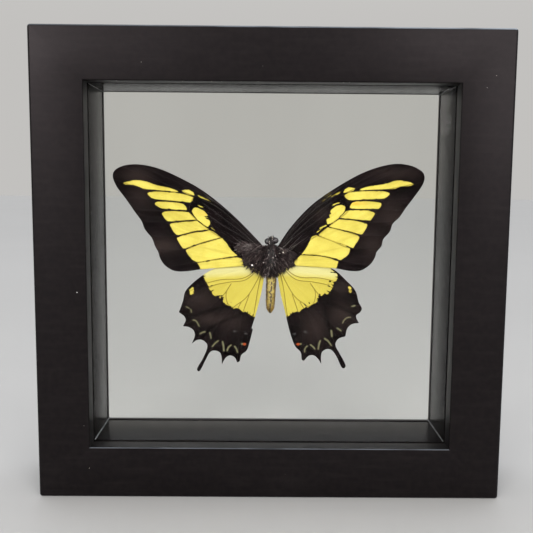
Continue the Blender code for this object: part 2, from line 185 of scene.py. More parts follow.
HIND_STROKES_RIGHT = [
    (0.42, [(36.9, -22.6), (38.2, -22.2)]),
    (0.34, [(32.9, -30.3), (33.4, -29.1), (34.8, -27.8), (36.3, -27.6)]),
    (0.38, [(30.4, -32.6), (32.2, -33.8)]),
    (0.46, [(27.8, -33.9), (28.1, -36.4)]),
    (0.42, [(24.8, -37.5), (26.3, -38.5), (27.8, -40.6)]),
    (0.42, [(22.8, -38.5), (22.2, -40.6), (22, -42.3)]),
    (0.4, [(18.4, -40.4), (19.6, -41.3), (20.4, -42.3)]),
    (0.38, [(16.9, -41), (16, -42.1), (15.8, -43.7)]),
]
# The hindwings' yellow fields run from the roots to a jagged edge.
HIND_FIELD_LEFT = [
    [4, 6], [-32, 6], [-31.5, -7], [-30.3, -9.1], (-29.1, -11.8), [-27.6, -14.1], [-27.9, -14.6],
    (-26.1, -17.1), [-24.9, -18.7], [-23.8, -17.9], (-23.1, -18.4), [-22.3, -20.3], [-21.8, -18.1],
    (-21.4, -20.6), (-19.9, -22.1), (-17.9, -22.9), [-16.5, -24.2], [-15.5, -23.6], (-13.8, -24.1),
    [-12.2, -25.7], [-11.5, -25.2], (-8.6, -27.1), [-6, -28], [4, -28],
]
HIND_FIELD_RIGHT = [
    [-4, 6], [-4, -28], [6.6, -27.4], (8.1, -27.4), (9.8, -25.9), [12.5, -24.8], [13.1, -25.4],
    (14.2, -24.1), [16.2, -22.9], [16.6, -23.6], (18.4, -22.1), (20.7, -20.9), (21.9, -19.4), [22, -16.9],
    [22.6, -16.9], [22.6, -18.8], [24.2, -16.8], [26, -17.2], [28.3, -13.7], [27.2, -12.4], [28.5, -12.8],
    [28.6, -11.4], (29.6, -10.9), (30.4, -8.8), (29.4, -7.4), [27, -5.7], [27, 6],
]
HIND_SPOT_LEFT = [
    (-36.3, -15.4), (-35.2, -14.1), (-34.6, -14.4), (-34.6, -17), (-35.6, -17.9), (-36.3, -17.4),
]
HIND_SPOT_RIGHT = [
    (34.8, -14), (35.4, -13.4), (36.4, -14), (36.6, -16), (36, -16.6), (35.2, -15.2),
]
RED_SPOTS = {"hindwing_left": (-11.5, -40.3), "hindwing_right": (12.8, -40.1)}

# Veins, from the root outwards.
FORE_VEINS_LEFT = [
    [(-3.5, 4.2), (-15, 18), (-28, 28.3), (-37, 33.1)],
    [(-3.8, 3.6), (-16, 17), (-27, 25.2), (-34.3, 26.6)],
    [(-20, 20.4), (-31, 28.4), (-43, 34.9)],
    [(-27, 25.2), (-40, 31.8), (-52, 37), (-57.5, 39.8)],
    [(-34.3, 26.6), (-46, 31.3), (-57, 36), (-66, 39)],
    [(-34.3, 26.6), (-41, 28.1), (-52, 28.7), (-62, 31), (-69.4, 33.4)],
    [(-35.8, 22.8), (-44, 23.9), (-52, 24.4), (-65, 25.9)],
    [(-36.8, 20.2), (-44, 20.1), (-50, 19.9), (-61.2, 20.4)],
    [(-33, 16), (-40, 15.4), (-46, 14.8), (-57.3, 14.9)],
    [(-27.5, 11.6), (-35, 10.5), (-42, 8.6), (-54, 8.8)],
    [(-22.2, 8.2), (-30, 6.1), (-38.8, 2.6), (-51.4, 3.4)],
    [(-4, 1), (-15, -0.2), (-25, -1.6), (-33, -3.1), (-46.4, -5.2)],
    [(-3.5, 2.4), (-12, 4.4), (-22.2, 8.2), (-27.5, 11.6), (-33, 16), (-36.8, 20.2), (-35.8, 22.8),
     (-34.3, 26.6)],
]
FORE_VEINS_RIGHT = [
    [(3.9, 4.9), (11.5, 15.4), (22, 25.6), (33, 32.6)],
    [(4, 4.2), (13, 15.6), (24, 25), (31.6, 28)],
    [(16, 18.8), (26, 27.4), (38, 34.8)],
    [(24, 25), (36, 32), (48, 37.6), (53.5, 40.6)],
    [(31.6, 28), (42, 32.2), (54, 37), (63, 39.8)],
    [(31.6, 28), (37.6, 29.4), (48, 29.7), (56, 31), (67, 33.4)],
    [(33.6, 24.2), (40, 25.1), (48, 25.2), (62.4, 26.3)],
    [(34.6, 21.1), (40, 21.1), (47, 21), (58.6, 20.9)],
    [(30.3, 17), (36, 16.5), (43, 15.5), (54.6, 15.6)],
    [(25.4, 13.3), (31, 12.1), (39.4, 9.5), (51.6, 9.5)],
    [(20.5, 9.3), (27, 7.1), (35.6, 3.8), (48.8, 4.2)],
    [(4.2, 1.2), (13.5, 0.7), (22, 0.2), (31, -1.9), (44, -4)],
    [(3.8, 2.8), (12, 5.2), (20.5, 9.3), (25.4, 13.3), (30.3, 17), (34.6, 21.1), (33.6, 24.2), (31.6, 28)],
]
HIND_VEINS_LEFT = [
    [(-3, -2.6), (-11.4, -9.7), (-22.6, -10.9), (-31, -13.4), (-38.8, -17.6)],
    [(-3, -3), (-10.8, -10.6), (-19, -12), (-26.7, -14.1), (-40.9, -25.6)],
    [(-17.6, -12.6), (-21, -17.6), (-29, -25.2), (-39.2, -32)],
    [(-19.2, -21.6), (-25, -28.6), (-30, -34.4), (-35.2, -39.9)],
    [(-3.6, -4.8), (-6.1, -11.2), (-10.8, -18.8), (-16.7, -23.5), (-24.4, -32.6), (-29.2, -44),
     (-32.4, -52.2)],
    [(-13.2, -21.2), (-17.4, -29), (-20, -38), (-21.7, -49.2)],
    [(-9.4, -17.2), (-12.6, -27), (-14, -37), (-14.8, -48.4)],
    [(-3.4, -5.2), (-5.5, -14.7), (-7.3, -25.9), (-9.8, -40), (-11.4, -42.8)],
    [(-17.6, -12.6), (-19.8, -16.6), (-19.2, -21.6), (-16.7, -23.5)],
]
HIND_VEINS_RIGHT = [
    [(3.4, -2.6), (11.8, -9), (22.6, -9.8), (31, -12.2), (39.2, -17.8)],
    [(3.4, -3), (11, -10.2), (19.4, -11.6), (27, -13.6), (40.8, -25)],
    [(18, -12.2), (21.6, -17), (29.4, -24), (39.9, -30)],
    [(19.6, -21), (25.2, -28), (30, -33), (34, -36.2)],
    [(4, -4.8), (6.6, -11), (11.2, -18.4), (17, -22.9), (25, -32), (30, -43), (34, -50.6)],
    [(13.4, -20.8), (18, -28.6), (21.4, -38), (23.3, -48.8)],
    [(9.8, -17), (13, -27), (14.6, -37), (15.4, -47.4)],
    [(3.8, -5.2), (5.9, -14.7), (7.6, -25.9), (10.4, -38), (12, -41)],
    [(18, -12.2), (20.2, -16.2), (19.6, -21), (17, -22.9)],
]
# Faint ribs inside the forewings' cells, and the folds in the hindwings' black borders.
CELL_RIBS_LEFT = [
    [(-5, 3.4), (-14, 9.4), (-22, 14), (-28.6, 18.6)], [(-5, 3.9), (-14, 11.4), (-22, 17.4), (-30, 23.2)],
    [(-5, 4.6), (-14, 13.6), (-22, 20.4), (-31, 25.6)], [(-6, 6.6), (-14, 15.4), (-21, 21.2), (-29, 26.4)],
    [(-6, 7.2), (-13, 14.8), (-20, 20.6), (-30, 27.8)],
]
CELL_RIBS_RIGHT = [
    [(5, 3.8), (12, 9.8), (18.6, 14.6), (25, 19.6)], [(5, 4.6), (12, 11.8), (19, 18.2), (27, 24.4)],
    [(5.2, 5.4), (11, 13), (19, 20.8), (28, 27)], [(6, 7.6), (12, 15.4), (20, 23.2), (30, 30.2)],
]
# Painted sheen on the black, in paler patches: the middle of each, its reach across and up, its strength
PAINTED_SHEEN = {
    "forewing_left": [(-47.5, 4.4, 6.5, 3.2, 0.8), (-58, 26, 5, 8, 0.35), (-60, 36, 8, 3, 0.5)],
    "forewing_right": [(54, 19, 6, 6, 0.6), (46, 5, 5, 6, 0.6), (55, 37, 10, 3, 0.5),
                       (23, 19, 4, 3, 0.45)],
    "hindwing_left": [(-31, -20, 7, 4, 0.6), (-27, -29, 8, 2.6, 0.7), (-16, -30, 6, 5, 0.35)],
    "hindwing_right": [(32, -14, 5, 3, 0.6), (33, -26, 5, 5, 0.75), (20, -32, 6, 7, 0.6)],
}
FOLDS = {
    "hindwing_left": [[(-38.4, -29.0), (-30.0, -26.0), (-17.6, -22.6)],
                      [(-31.0, -37.4), (-24.0, -31.4), (-12.0, -26.4)]],
    "hindwing_right": [[(38.6, -26.8), (31.0, -22.8), (23.6, -20.4)],
                       [(28.6, -38.4), (26.0, -30.0), (24.0, -21.6)]],
}


# ---------------------------------------------------------------- curves and distances
def smooth_path(points, closed, step, curl=1.0):
    """Points about a step apart on a smooth curve through the given ones. A point in
    square brackets is a sharp corner, and a curl below 1 tightens every bend."""
    places = np.array(points, float)
    sharp = [isinstance(point, list) for point in points]
    count = len(points)
    out = []
    for index in range(count if closed else count - 1):
        start, end = places[index], places[(index + 1) % count]
        chord = end - start
        length = np.hypot(*chord)
        leave, arrive = chord, chord
        if not sharp[index] and (closed or index > 0):
            leave = end - places[index - 1]
        if not sharp[(index + 1) % count] and (closed or index + 2 < count):
            arrive = places[(index + 2) % count] - start
        leave = leave * curl * length / max(np.hypot(*leave), 1e-9)
        arrive = arrive * curl * length / max(np.hypot(*arrive), 1e-9)
        steps = max(1, int(round(length / step)))
        for part in range(steps):
            t = part / steps
            out.append(
                (2 * t**3 - 3 * t**2 + 1) * start + (t**3 - 2 * t**2 + t) * leave
                + (3 * t**2 - 2 * t**3) * end + (t**3 - t**2) * arrive
            )
    if not closed:
        out.append(places[-1])
    return np.array(out)


def distance_to(places, path, closed=False):
    """Distance from each place to a path, negative inside a closed one."""
    ends = np.roll(path, -1, axis=0) if closed else path[1:]
    starts = path if closed else path[:-1]
    nearest = np.full(len(places), 1e9)
    inside = np.zeros(len(places), bool)
    for start, end in zip(starts, ends):
        along = end - start
        offset = places - start
        reach = np.clip(offset @ along / max(along @ along, 1e-12), 0, 1)
        away = offset - reach[:, None] * along
        nearest = np.minimum(nearest, (away * away).sum(1))
        if closed and along[1] != 0:
            straddles = (places[:, 1] < start[1]) != (places[:, 1] < end[1])
            crossing = start[0] + (places[:, 1] - start[1]) * along[0] / along[1]
            inside ^= straddles & (places[:, 0] < crossing)
    return np.sqrt(nearest) * np.where(inside, -1, 1)


def distance_to_marks(places, shapes):
    """Distance to the nearest closed shape, negative inside it."""
    paths = [smooth_path(shape, True, 0.5, MARK_CURL) for shape in shapes]
    return np.min([distance_to(places, path, True) for path in paths], axis=0)


def distance_to_strokes(places, strokes, step=0.5):
    """Each stroke is a half width and a line."""
    return np.min([distance_to(places, smooth_path(line, False, step)) - half_width
                   for half_width, line in strokes], axis=0)


def distance_to_veins(places, veins):
    return np.min([distance_to(places, smooth_path(vein, False, 0.8)) for vein in veins], axis=0)


def soft_noise(places, scale, seed):
    """Smooth noise between -1 and 1 at each (x, z) place."""
    return np.array([noise.noise(Vector((x * scale, z * scale, seed))) for x, z in places])


# ---------------------------------------------------------------- meshes
def make_piece(name, verts, faces, material, slot, replaced=(), attributes=None, sharp=None):
    """A smooth piece that rides on the root; sharp is the angle that stays an edge."""
    mesh = bpy.data.meshes.new(name)
    mesh.from_pydata([tuple(vert) for vert in verts], [], [tuple(face) for face in faces])
    for key, values in (attributes or {}).items():
        layer = mesh.attributes.new(key, "FLOAT", "POINT")
        layer.data.foreach_set("value", np.asarray(values, np.float32))
    mesh.materials.append(material)
    mesh.shade_smooth()
    if sharp:
        mesh.set_sharp_from_angle(angle=math.radians(sharp))
    return place_piece(name, mesh, replaced)


def place_piece(name, mesh, replaced=()):
    piece = bpy.data.objects.new(name, mesh)
    bpy.context.scene.collection.objects.link(piece)
    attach(piece, "root")
    if replaced:
        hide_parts(*replaced)
    return piece


def swept_rings(rings):
    """Vertices and faces of a closed skin over a list of equal rings of points."""
    count = len(rings[0])
    verts = [point for ring in rings for point in ring]
    faces = []
    for row in range(len(rings) - 1):
        for column in range(count):
            a, b = row * count + column, row * count + (column + 1) % count
            faces.append((a, b, b + count, a + count))
    faces.append(tuple(range(count - 1, -1, -1)))
    faces.append(tuple(range((len(rings) - 1) * count, len(rings) * count)))
    return verts, faces


def quarter_arc(x, y, radius, start_degrees, steps=6):
    angles = [math.radians(start_degrees + 90 * step / steps) for step in range(steps + 1)]
    return [(x + radius * math.cos(angle), y + radius * math.sin(angle)) for angle in angles]


def round_ring(x, y, z, radius, steps=48):
    """A circle of points about the Y axis."""
    angles = [2 * math.pi * step / steps for step in range(steps)]
    return [(x + radius * math.cos(angle), y, z + radius * math.sin(angle)) for angle in angles]


def turned(places, quarter_turns):
    """Points of the bottom side carried round the frame's middle to another side."""
    turn = Matrix.Rotation(-math.pi / 2 * quarter_turns, 4, "Y")
    move = Matrix.Translation(CENTRE) @ turn @ Matrix.Translation(-CENTRE)
    return [move @ Vector(place) for place in places]


def soften_corner(place):
    """Rounds the frame's outline at its four outer corners."""
    radius = 1.2 * MM
    dx = abs(place.x) - (HALF - radius)
    dz = abs(place.z - HALF) - (HALF - radius)
    if dx <= 0 or dz <= 0:
        return place
    shrink = max(dx, dz) / math.hypot(dx, dz)
    x = math.copysign(HALF - radius + dx * shrink, place.x)
    z = HALF + math.copysign(HALF - radius + dz * shrink, place.z - HALF)
    return Vector((x, place.y, z))


def mitred_side(section, turns, stations):
    """A strip along one side of the frame with mitred ends. The section's points are
    (inset from the outer edge, y)."""
    rings = []
    for station in stations:
        ring = [(station * (HALF - inset), y, inset) for inset, y in section]
        rings.append([soften_corner(place) for place in turned(ring, turns)])
    return swept_rings(rings)


def end_weighted_stations(count):
    """Places from -1 to 1 along a side, closer together at its ends."""
    return [math.sin(math.pi / 2 * (2 * step / count - 1)) for step in range(count + 1)]


# ---------------------------------------------------------------- material nodes
def new_material(name, **values):
    """A material, its nodes and its shader, with the shader's plain values set."""
    material = bpy.data.materials.new(name)
    material.use_nodes = True
    tree = material.node_tree
    shader = tree.nodes["Principled BSDF"]
    for key, value in values.items():
        plug(tree, shader.inputs[key.replace("_", " ")], value)
    return material, tree, shader


def node(tree, kind, settings=None, **inputs):
    made = tree.nodes.new("ShaderNode" + kind)
    for key, value in (settings or {}).items():
        setattr(made, key, value)
    for key, value in inputs.items():
        plug(tree, made.inputs[key.replace("_", " ")], value)
    return made


def plug(tree, socket, value):
    if isinstance(value, bpy.types.NodeSocket):
        tree.links.new(value, socket)
    elif socket.type == "RGBA" and len(value) == 3:
        socket.default_value = (*value, 1.0)
    else:
        socket.default_value = value


def mix(tree, factor, first, second):
    made = node(tree, "Mix", {"data_type": "RGBA"})
    for index, value in ((0, factor), (6, first), (7, second)):
        plug(tree, made.inputs[index], value)
    return made.outputs[2]


def layered(tree, colour, *layers):
    """Lays colours over a first one, each by its own mask."""
    for mask, tone in layers:
        colour = mix(tree, mask, colour, tone)
    return colour


def maths(tree, operation, first, second):
    made = node(tree, "Math", {"operation": operation})
    plug(tree, made.inputs[0], first)
    plug(tree, made.inputs[1], second)
    return made.outputs[0]


def times(tree, first, second):
    return maths(tree, "MULTIPLY", first, second)


def plus(tree, first, second):
    return maths(tree, "ADD", first, second)


def about_zero(tree, value, size):
    """Noise moved from around a half to around zero, and scaled."""
    return times(tree, plus(tree, value, -0.5), size)


def ramp(tree, value, low, high, out_low=0.0, out_high=1.0):
    """Eases from out_low at low to out_high at high."""
    ends = {"From_Min": low, "From_Max": high, "To_Min": out_low, "To_Max": out_high}
    return node(tree, "MapRange", {"interpolation_type": "SMOOTHSTEP"}, Value=value, **ends).outputs[0]


def own_place(tree):
    return node(tree, "TexCoord").outputs["Object"]


def noise_at(tree, scale, detail, stretch=(1, 1, 1)):
    """Noise over the piece's own coordinates; scale is in features per metre."""
    place = own_place(tree)
    if stretch != (1, 1, 1):
        place = node(tree, "Mapping", Vector=place, Scale=stretch).outputs[0]
    return node(tree, "TexNoise", Vector=place, Scale=scale, Detail=detail).outputs[0]


def cells_at(tree, scale):
    """Distance to the nearest of scattered points."""
    return node(tree, "TexVoronoi", Vector=own_place(tree), Scale=scale).outputs["Distance"]


def attribute(tree, name):
    return node(tree, "Attribute", {"attribute_name": name}).outputs["Fac"]


def bump(tree, shader, height, distance):
    made = node(tree, "Bump", Height=height, Distance=distance, Strength=1.0)
    tree.links.new(made.outputs[0], shader.inputs["Normal"])


def mottled(name, scale, detail, low, high, first, second, **values):
    """A material whose colour runs from first to second by noise between low and high."""
    material, tree, shader = new_material(name, **values)
    spots = noise_at(tree, scale, detail)
    plug(tree, shader.inputs["Base Color"], mix(tree, ramp(tree, spots, low, high), first, second))
    return material, tree, shader, spots


def lacquer(name, roughness, gloss, relief, wear=1.0):
    """Black satin lacquer over wood: a faint grain, orange peel, a few dust specks, and a pale
    bluish painted highlight along the edges where the mesh's arris value says so."""
    material, tree, shader = new_material(
        name, Specular_IOR_Level=gloss, Specular_Tint=(1.0, 0.86, 0.885))
    peel = noise_at(tree, 1100, 3)
    grain = noise_at(tree, 60, 5, (1, 9, 9))
    blotch = noise_at(tree, 22, 3)
    mottle = noise_at(tree, 420, 4)
    dust = ramp(tree, cells_at(tree, 120), 0.034, 0.014, 0.0, 0.30 * wear)
    dust = times(tree, dust, ramp(tree, noise_at(tree, 35, 2), 0.52, 0.68))
    # painted highlight along the edges, broken up by the grain
    painted_highlight = times(tree, attribute(tree, "arris"), ramp(tree, grain, 0.25, 0.6, 0.35, 1.0))
    base = layered(
        tree, (0.0020, 0.0017, 0.0019),
        (ramp(tree, mottle, 0.30, 0.75), (0.0048, 0.0038, 0.0038)),
        (ramp(tree, grain, 0.45, 0.75, 0, 0.4), (0.0090, 0.0076, 0.0074)),
        (dust, (0.16, 0.15, 0.14)),
        (painted_highlight, (0.25, 0.28, 0.32)))
    plug(tree, shader.inputs["Base Color"], base)
    satin = ramp(tree, blotch, 0.3, 0.7, roughness - 0.03, roughness + 0.04)
    plug(tree, shader.inputs["Roughness"], plus(tree, satin, times(tree, peel, 0.012)))
    bump(tree, shader, plus(tree, times(tree, peel, 0.55), times(tree, grain, 0.6)), relief)
    return material


def clear(name, ior, tint, glint):
    """Clear glass or acrylic with a slight tint. Its coating lets through most of the light
    that plain glass throws back: glint is the share it still reflects."""
    material, tree, shader = new_material(
        name, Roughness=0.0, Transmission_Weight=1.0, IOR=ior, Specular_Tint=(glint, glint, glint))
    smear = noise_at(tree, 18, 4, (1, 1, 0.4))
    film = tuple(min(1.0, channel + 0.03) for channel in tint)
    plug(tree, shader.inputs["Base Color"], mix(tree, ramp(tree, smear, 0.35, 0.75), tint, film))
    return material


# ---------------------------------------------------------------- frame
def build_rails():
    material = lacquer("rail_lacquer", 0.36, 0.145, 0.000016)
    outer, inner = 1.1 * MM, 0.5 * MM
    rebate = HALF - REBATE_HALF
    step_y = GLASS_FRONT.y - GAP
    section = quarter_arc(outer, FRONT + outer, outer, 180)
    section += quarter_arc(RAIL_WIDTH - inner, FRONT + inner, inner, 270)
    section += [(RAIL_WIDTH, step_y), (rebate, step_y), (rebate, BACK)]
    section += quarter_arc(outer, BACK - outer, outer, 90)
    for turns, side in enumerate(SIDES):
        verts, faces = mitred_side(section, turns, end_weighted_stations(RAIL_STATIONS))
        verts = np.array(verts)
        step = np.arange(len(verts)) % len(section)
        # steps 1 to 4 are the outer arris, given a painted highlight brighter to the right, and 9 to 11
        # the inner one
        edge_highlight = np.where((step > 0) & (step < 5), 1.0 if side == "top" else 0.04, 0.0)
        edge_highlight = edge_highlight * np.clip(0.6 + verts[:, 0] / HALF * 0.4, 0, 1)
        edge_highlight = np.where((step > 8) & (step < 12) & (side == "bottom"), 0.4, edge_highlight)
        make_piece("lacquered_rail_" + side, verts, faces, material, "black_wood",
                   ["rail_" + side], {"arris": edge_highlight}, sharp=40)


def build_strips():
    """The lining between the panes and the strips behind the rear pane, mitred."""
    lining = lacquer("lining_lacquer", 0.22, 0.07, 0.000004, 1.6)
    retainer = lacquer("retainer_lacquer", 0.34, 0.20, 0.000012, 0.6)
    kinds = (("spacer", SPACER, lining, "black_lining"),
             ("retainer", RETAINER, retainer, "black_wood"))
    outside = HALF - REBATE_HALF + GAP
    for prefix, (low, high), material, slot in kinds:
        section = [(outside, low.y)] + quarter_arc(RAIL_WIDTH - EDGE, low.y + EDGE, EDGE, 270, 3)
        section += quarter_arc(RAIL_WIDTH - EDGE, high.y - EDGE, EDGE, 0, 3) + [(outside, high.y)]
        for turns, side in enumerate(SIDES):
            verts, faces = mitred_side(section, turns, end_weighted_stations(STRIP_STATIONS))
            make_piece(prefix + "_strip_" + side, verts, faces, material, slot,
                       [prefix + "_" + side], sharp=40)


def build_panes():
    # the panes' grey tint is partly the glass's own tint and partly painted shade on all seen through them
    material = clear("pane_glass", 1.5, (0.905, 0.907, 0.888), 0.03)
    for name, node_name in (("front_pane", "front_glass"), ("rear_pane", "rear_glass")):
        low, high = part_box(node_name)
        shape = bmesh.new()
        bmesh.ops.create_cube(shape, size=1.0)
        bmesh.ops.scale(shape, vec=high - low, verts=shape.verts)
        bmesh.ops.translate(shape, vec=(low + high) / 2, verts=shape.verts)
        bmesh.ops.bevel(shape, geom=shape.edges, offset=0.0003, segments=1, affect="EDGES")
        mesh = bpy.data.meshes.new(name)
        shape.to_mesh(mesh)
        shape.free()
        mesh.materials.append(material)
        pane = place_piece(name, mesh, [node_name])
        pane.visible_shadow = False


def build_sealant():
    """Thin beads of pale sealant down the lining's four inner corners."""
    material, tree, shader, spots = mottled(
        "pale_sealant", 700, 4, 0.3, 0.7, (0.045, 0.046, 0.050), (0.20, 0.205, 0.215), Roughness=0.35)
    bump(tree, shader, spots, 0.0001)
    beads = ((-1, -1, 0.36), (1, -1, 0.28), (1, 1, 0.22), (-1, 1, 0.18))
    start, inset = SPACER[0].y, 0.2 * MM
    reach = RETAINER[1].y - start - GAP
    for index, (across, up, bead) in enumerate(beads):
        corner_x, corner_z = across * (OPENING_HALF - inset), HALF + up * (OPENING_HALF - inset)
        rings = []
        for step in range(BEAD_STATIONS + 1):
            swell = 0.75 + 0.5 * noise.noise(Vector((index * 7.0, step * 0.35, 0)))
            rings.append(round_ring(corner_x, start + reach * step / BEAD_STATIONS, corner_z,
                                    bead * MM * swell, 8))
        verts, faces = swept_rings(rings)
        make_piece("corner_sealant_%d" % index, verts, faces, material, "black_lining")


# ---------------------------------------------------------------- wings
def wing_material():
    """Scales in two colours. The edges of the marks come from distances held by the mesh,
    in millimetres, broken up by scale-sized noise. The mesh also holds ray, the angle about
    the root, and hind, which is 1 where a hindwing's field ends in fine teeth; over the
    hindwings it also darkens the yellow, as painted shade."""
    material, tree, shader = new_material("wing_scales", Specular_IOR_Level=0.02)
    fine, rows, broad = noise_at(tree, 9000, 2), noise_at(tree, 2600, 3), noise_at(tree, 130, 4)
    vein, root, ray, hind = (attribute(tree, key) for key in ("vein", "root", "ray", "hind"))
    ragged = plus(tree, about_zero(tree, rows, 0.42), about_zero(tree, fine, 0.22))

    def fanned(outwards, scale, detail):
        """Noise drawn out along the rays from the wing's root."""
        place = node(tree, "CombineXYZ", X=ray, Y=times(tree, root, outwards)).outputs[0]
        return node(tree, "TexNoise", Vector=place, Scale=scale, Detail=detail).outputs[0]

    def marked(name, soft, edge):
        return ramp(tree, plus(tree, attribute(tree, name), edge), soft, -soft)

    def share(name, amount):
        return times(tree, attribute(tree, name), amount)

    teeth = times(tree, ramp(tree, fanned(0.35, 0.85, 2.0), 0.52, 0.68, 0.0, 1.7), hind)
    toothed = plus(tree, ragged, teeth)
    streak = fanned(0.06, 0.50, 3.5)
    dark = layered(
        tree, (0.0011, 0.0007, 0.0008),
        (ramp(tree, broad, 0.36, 0.64), (0.0052, 0.0031, 0.0034)),
        (ramp(tree, streak, 0.48, 0.72, 0, 0.40), (0.0095, 0.0060, 0.0062)),
        # painted sheen: paler patches of the black
        (attribute(tree, "bloom"), (0.028, 0.019, 0.017)),
        (ramp(tree, fine, 0.48, 0.75, 0, 0.35), (0.017, 0.0115, 0.0115)),
        (ramp(tree, vein, 0.24, 0.06, 0, 0.40), (0.020, 0.0155, 0.0155)),
        (ramp(tree, attribute(tree, "rib"), 0.22, 0.05, 0, 0.40), (0.070, 0.063, 0.061)),
        # painted shade along the hindwings' folds, which the mesh also creases
        (ramp(tree, attribute(tree, "fold"), 1.5, 0.0, 0, 0.75), (0.003, 0.002, 0.002)),
        # painted sheen: the black is lighter near the wing roots
        (ramp(tree, root, 15.0, 5.0, 0, 0.45), (0.014, 0.0100, 0.0095)),
        (share("underside", 0.55), (0.040, 0.027, 0.021)))
    near_edge = plus(tree, attribute(tree, "yellow_edge"), toothed)
    light = layered(
        tree, (0.47, 0.390, 0.062),
        (ramp(tree, broad, 0.32, 0.68), (0.57, 0.480, 0.092)),
        (ramp(tree, rows, 0.40, 0.75, 0.0, 0.30), (0.64, 0.57, 0.18)),
        (ramp(tree, streak, 0.46, 0.68, 0, 0.42), (0.35, 0.285, 0.042)),
        # painted shade: the hindwings' yellow is darker than the forewings'
        (times(tree, hind, 0.8), (0.40, 0.335, 0.055)),
        (attribute(tree, "cream"), (0.50, 0.465, 0.215)),
        (ramp(tree, vein, 0.30, 0.08, 0, 0.85), (0.145, 0.105, 0.016)),
        (attribute(tree, "orange"), (0.62, 0.30, 0.02)),
        (share("underside", 0.5), (0.66, 0.57, 0.27)),
        (ramp(tree, cells_at(tree, 210), 0.055, 0.03, 0, 0.5), (0.25, 0.17, 0.07)),
        (ramp(tree, near_edge, -0.45, -0.05, 0, 0.55), (0.37, 0.29, 0.040)))
    colour = layered(
        tree, dark,
        (marked("yellow_edge", 0.10, toothed), light),
        (times(tree, marked("crescent_edge", 0.20, ragged), 0.48), (0.27, 0.26, 0.145)),
        (times(tree, marked("grey_edge", 0.5, ragged), 0.22), (0.20, 0.20, 0.20)),
        (times(tree, marked("red_edge", 0.2, ragged), 0.92), (0.29, 0.052, 0.014)))
    plug(tree, shader.inputs["Base Color"], colour)
    plug(tree, shader.inputs["Roughness"], ramp(tree, rows, 0.2, 0.8, 0.46, 0.66))
    bump(tree, shader, plus(tree, plus(tree, fine, rows), times(tree, streak, 6.0)), 0.00003)
    return material


def inside_runs(path, edge, margin):
    """The stretches of a path that lie inside an outline by at least the margin."""
    inside = distance_to(path, edge, True) < -margin
    runs, run = [], []
    for place, kept in zip(path, inside):
        if kept:
            run.append(place)
        elif run:
            runs.append(run)
            run = []
    return [np.array(run) for run in runs + [run] if len(run) > 1]


def flat_wing(outline, veins, step):
    """Triangles filling a wing's outline, with edges along its veins."""
    edge = smooth_path(outline, True, step)
    parts, lines = [edge], []
    start = len(edge)
    low, high = edge.min(0), edge.max(0)
    across = np.arange(low[0], high[0], step)
    up = np.arange(low[1], high[1], step * 0.866)
    grid = np.array([(x + (row % 2) * step / 2, z) for row, z in enumerate(up) for x in across])
    grid = grid[distance_to(grid, edge, True) < -0.55 * step]
    for vein in veins:
        for run in inside_runs(smooth_path(vein, False, step), edge, 0.4 * step):
            lines += [(start + index, start + index + 1) for index in range(len(run) - 1)]
            start += len(run)
            parts.append(run)
            grid = grid[distance_to(grid, run) > 0.5 * step]
    places = [Vector(place) for place in np.vstack(parts + [grid])]
    made = delaunay_2d_cdt(places, lines, [list(range(len(edge)))], 1, 1e-4)
    return np.array(made[0]), np.array(made[2])


def patch_at(places, x, z, across, up):
    """1 in the middle of a soft oval patch and 0 far from it."""
    return np.exp(-(((places[:, 0] - x) / across) ** 2) - ((places[:, 1] - z) / up) ** 2)


def wing_sway(places):
    """The slow bend that all four wings share, in millimetres towards the viewer."""
    reach = np.hypot(places[:, 0], places[:, 1]) / 70.0
    return -0.9 * reach**2 + 0.30 * soft_noise(places, 0.045, 3.0)


def rim_faces(triangles, back_start):
    """Quads joining the front skin's open edges to the back skin's."""
    edges = {(a, b) for tri in triangles for a, b in zip(tri, np.roll(tri, -1))}
    open_edges = [(a, b) for a, b in edges if (b, a) not in edges]
    return [(b, a, a + back_start, b + back_start) for a, b in sorted(open_edges)]


def build_wing(name, outline, plane_y, veins, material, marks):
    """A thin shell with raised veins, pleats between them and folds. Its vertices hold what
    the scales' material needs: distances to marks, veins and ribs, soft tints and painted sheen."""
    step = 0.30
    places, triangles = flat_wing(outline, veins, step)
    vein = distance_to_veins(places, veins)
    rim = np.abs(distance_to(places, smooth_path(outline, True, 0.8), True))
    nearest = np.minimum(vein, rim + 0.3)
    reach = np.hypot(places[:, 0], places[:, 1])
    ridge = (0.07 + 0.10 * np.exp(-reach / 25.0)) * np.exp(-((vein / 0.20) ** 2))
    pleat = -0.26 * (1 - np.exp(-((nearest / 1.7) ** 2)))
    ruffle = 0.10 * soft_noise(places, 0.35, 9.0) * np.exp(-rim / 3.0)
    values = marks(places)
    crease = -0.22 * np.exp(-values["fold"] / 1.1) + 0.05 * np.exp(-((values["rib"] / 0.25) ** 2))
    base = wing_sway(places) + pleat + ruffle + crease
    thickness = 0.10
    front = np.column_stack([places[:, 0], -(base + ridge), places[:, 1]])
    back = np.column_stack([places[:, 0], thickness - base + ridge, places[:, 1]])
    count = len(places)
    verts = np.vstack([front, back]) * MM + np.array([0, plane_y, BODY_Z])
    faces = np.vstack([triangles, triangles[:, ::-1] + count]).tolist()
    faces += rim_faces(triangles, count)
    cape = CAPE_LEFT if name.endswith("left") else CAPE_RIGHT
    under_fur = distance_to(places, smooth_path(cape, True, 0.5), True)
    values["yellow_edge"] = np.maximum(values["yellow_edge"], -under_fur - 1.1)
    # patches of painted sheen on the black
    bloom = sum(strength * patch_at(places, x, z, across, up)
                for x, z, across, up, strength in PAINTED_SHEEN[name])
    ray = 30 * np.arctan2(np.abs(places[:, 0]), -places[:, 1] - RAYS_FROM)
    values.update(vein=vein, root=reach, bloom=bloom, ray=ray, underside=np.zeros(count))
    attributes = {key: np.concatenate([each, each]) for key, each in values.items()}
    attributes["underside"][count:] = 1.0
    make_piece(name + "_scaled", verts, faces, material, "wing_scales", [name], attributes)


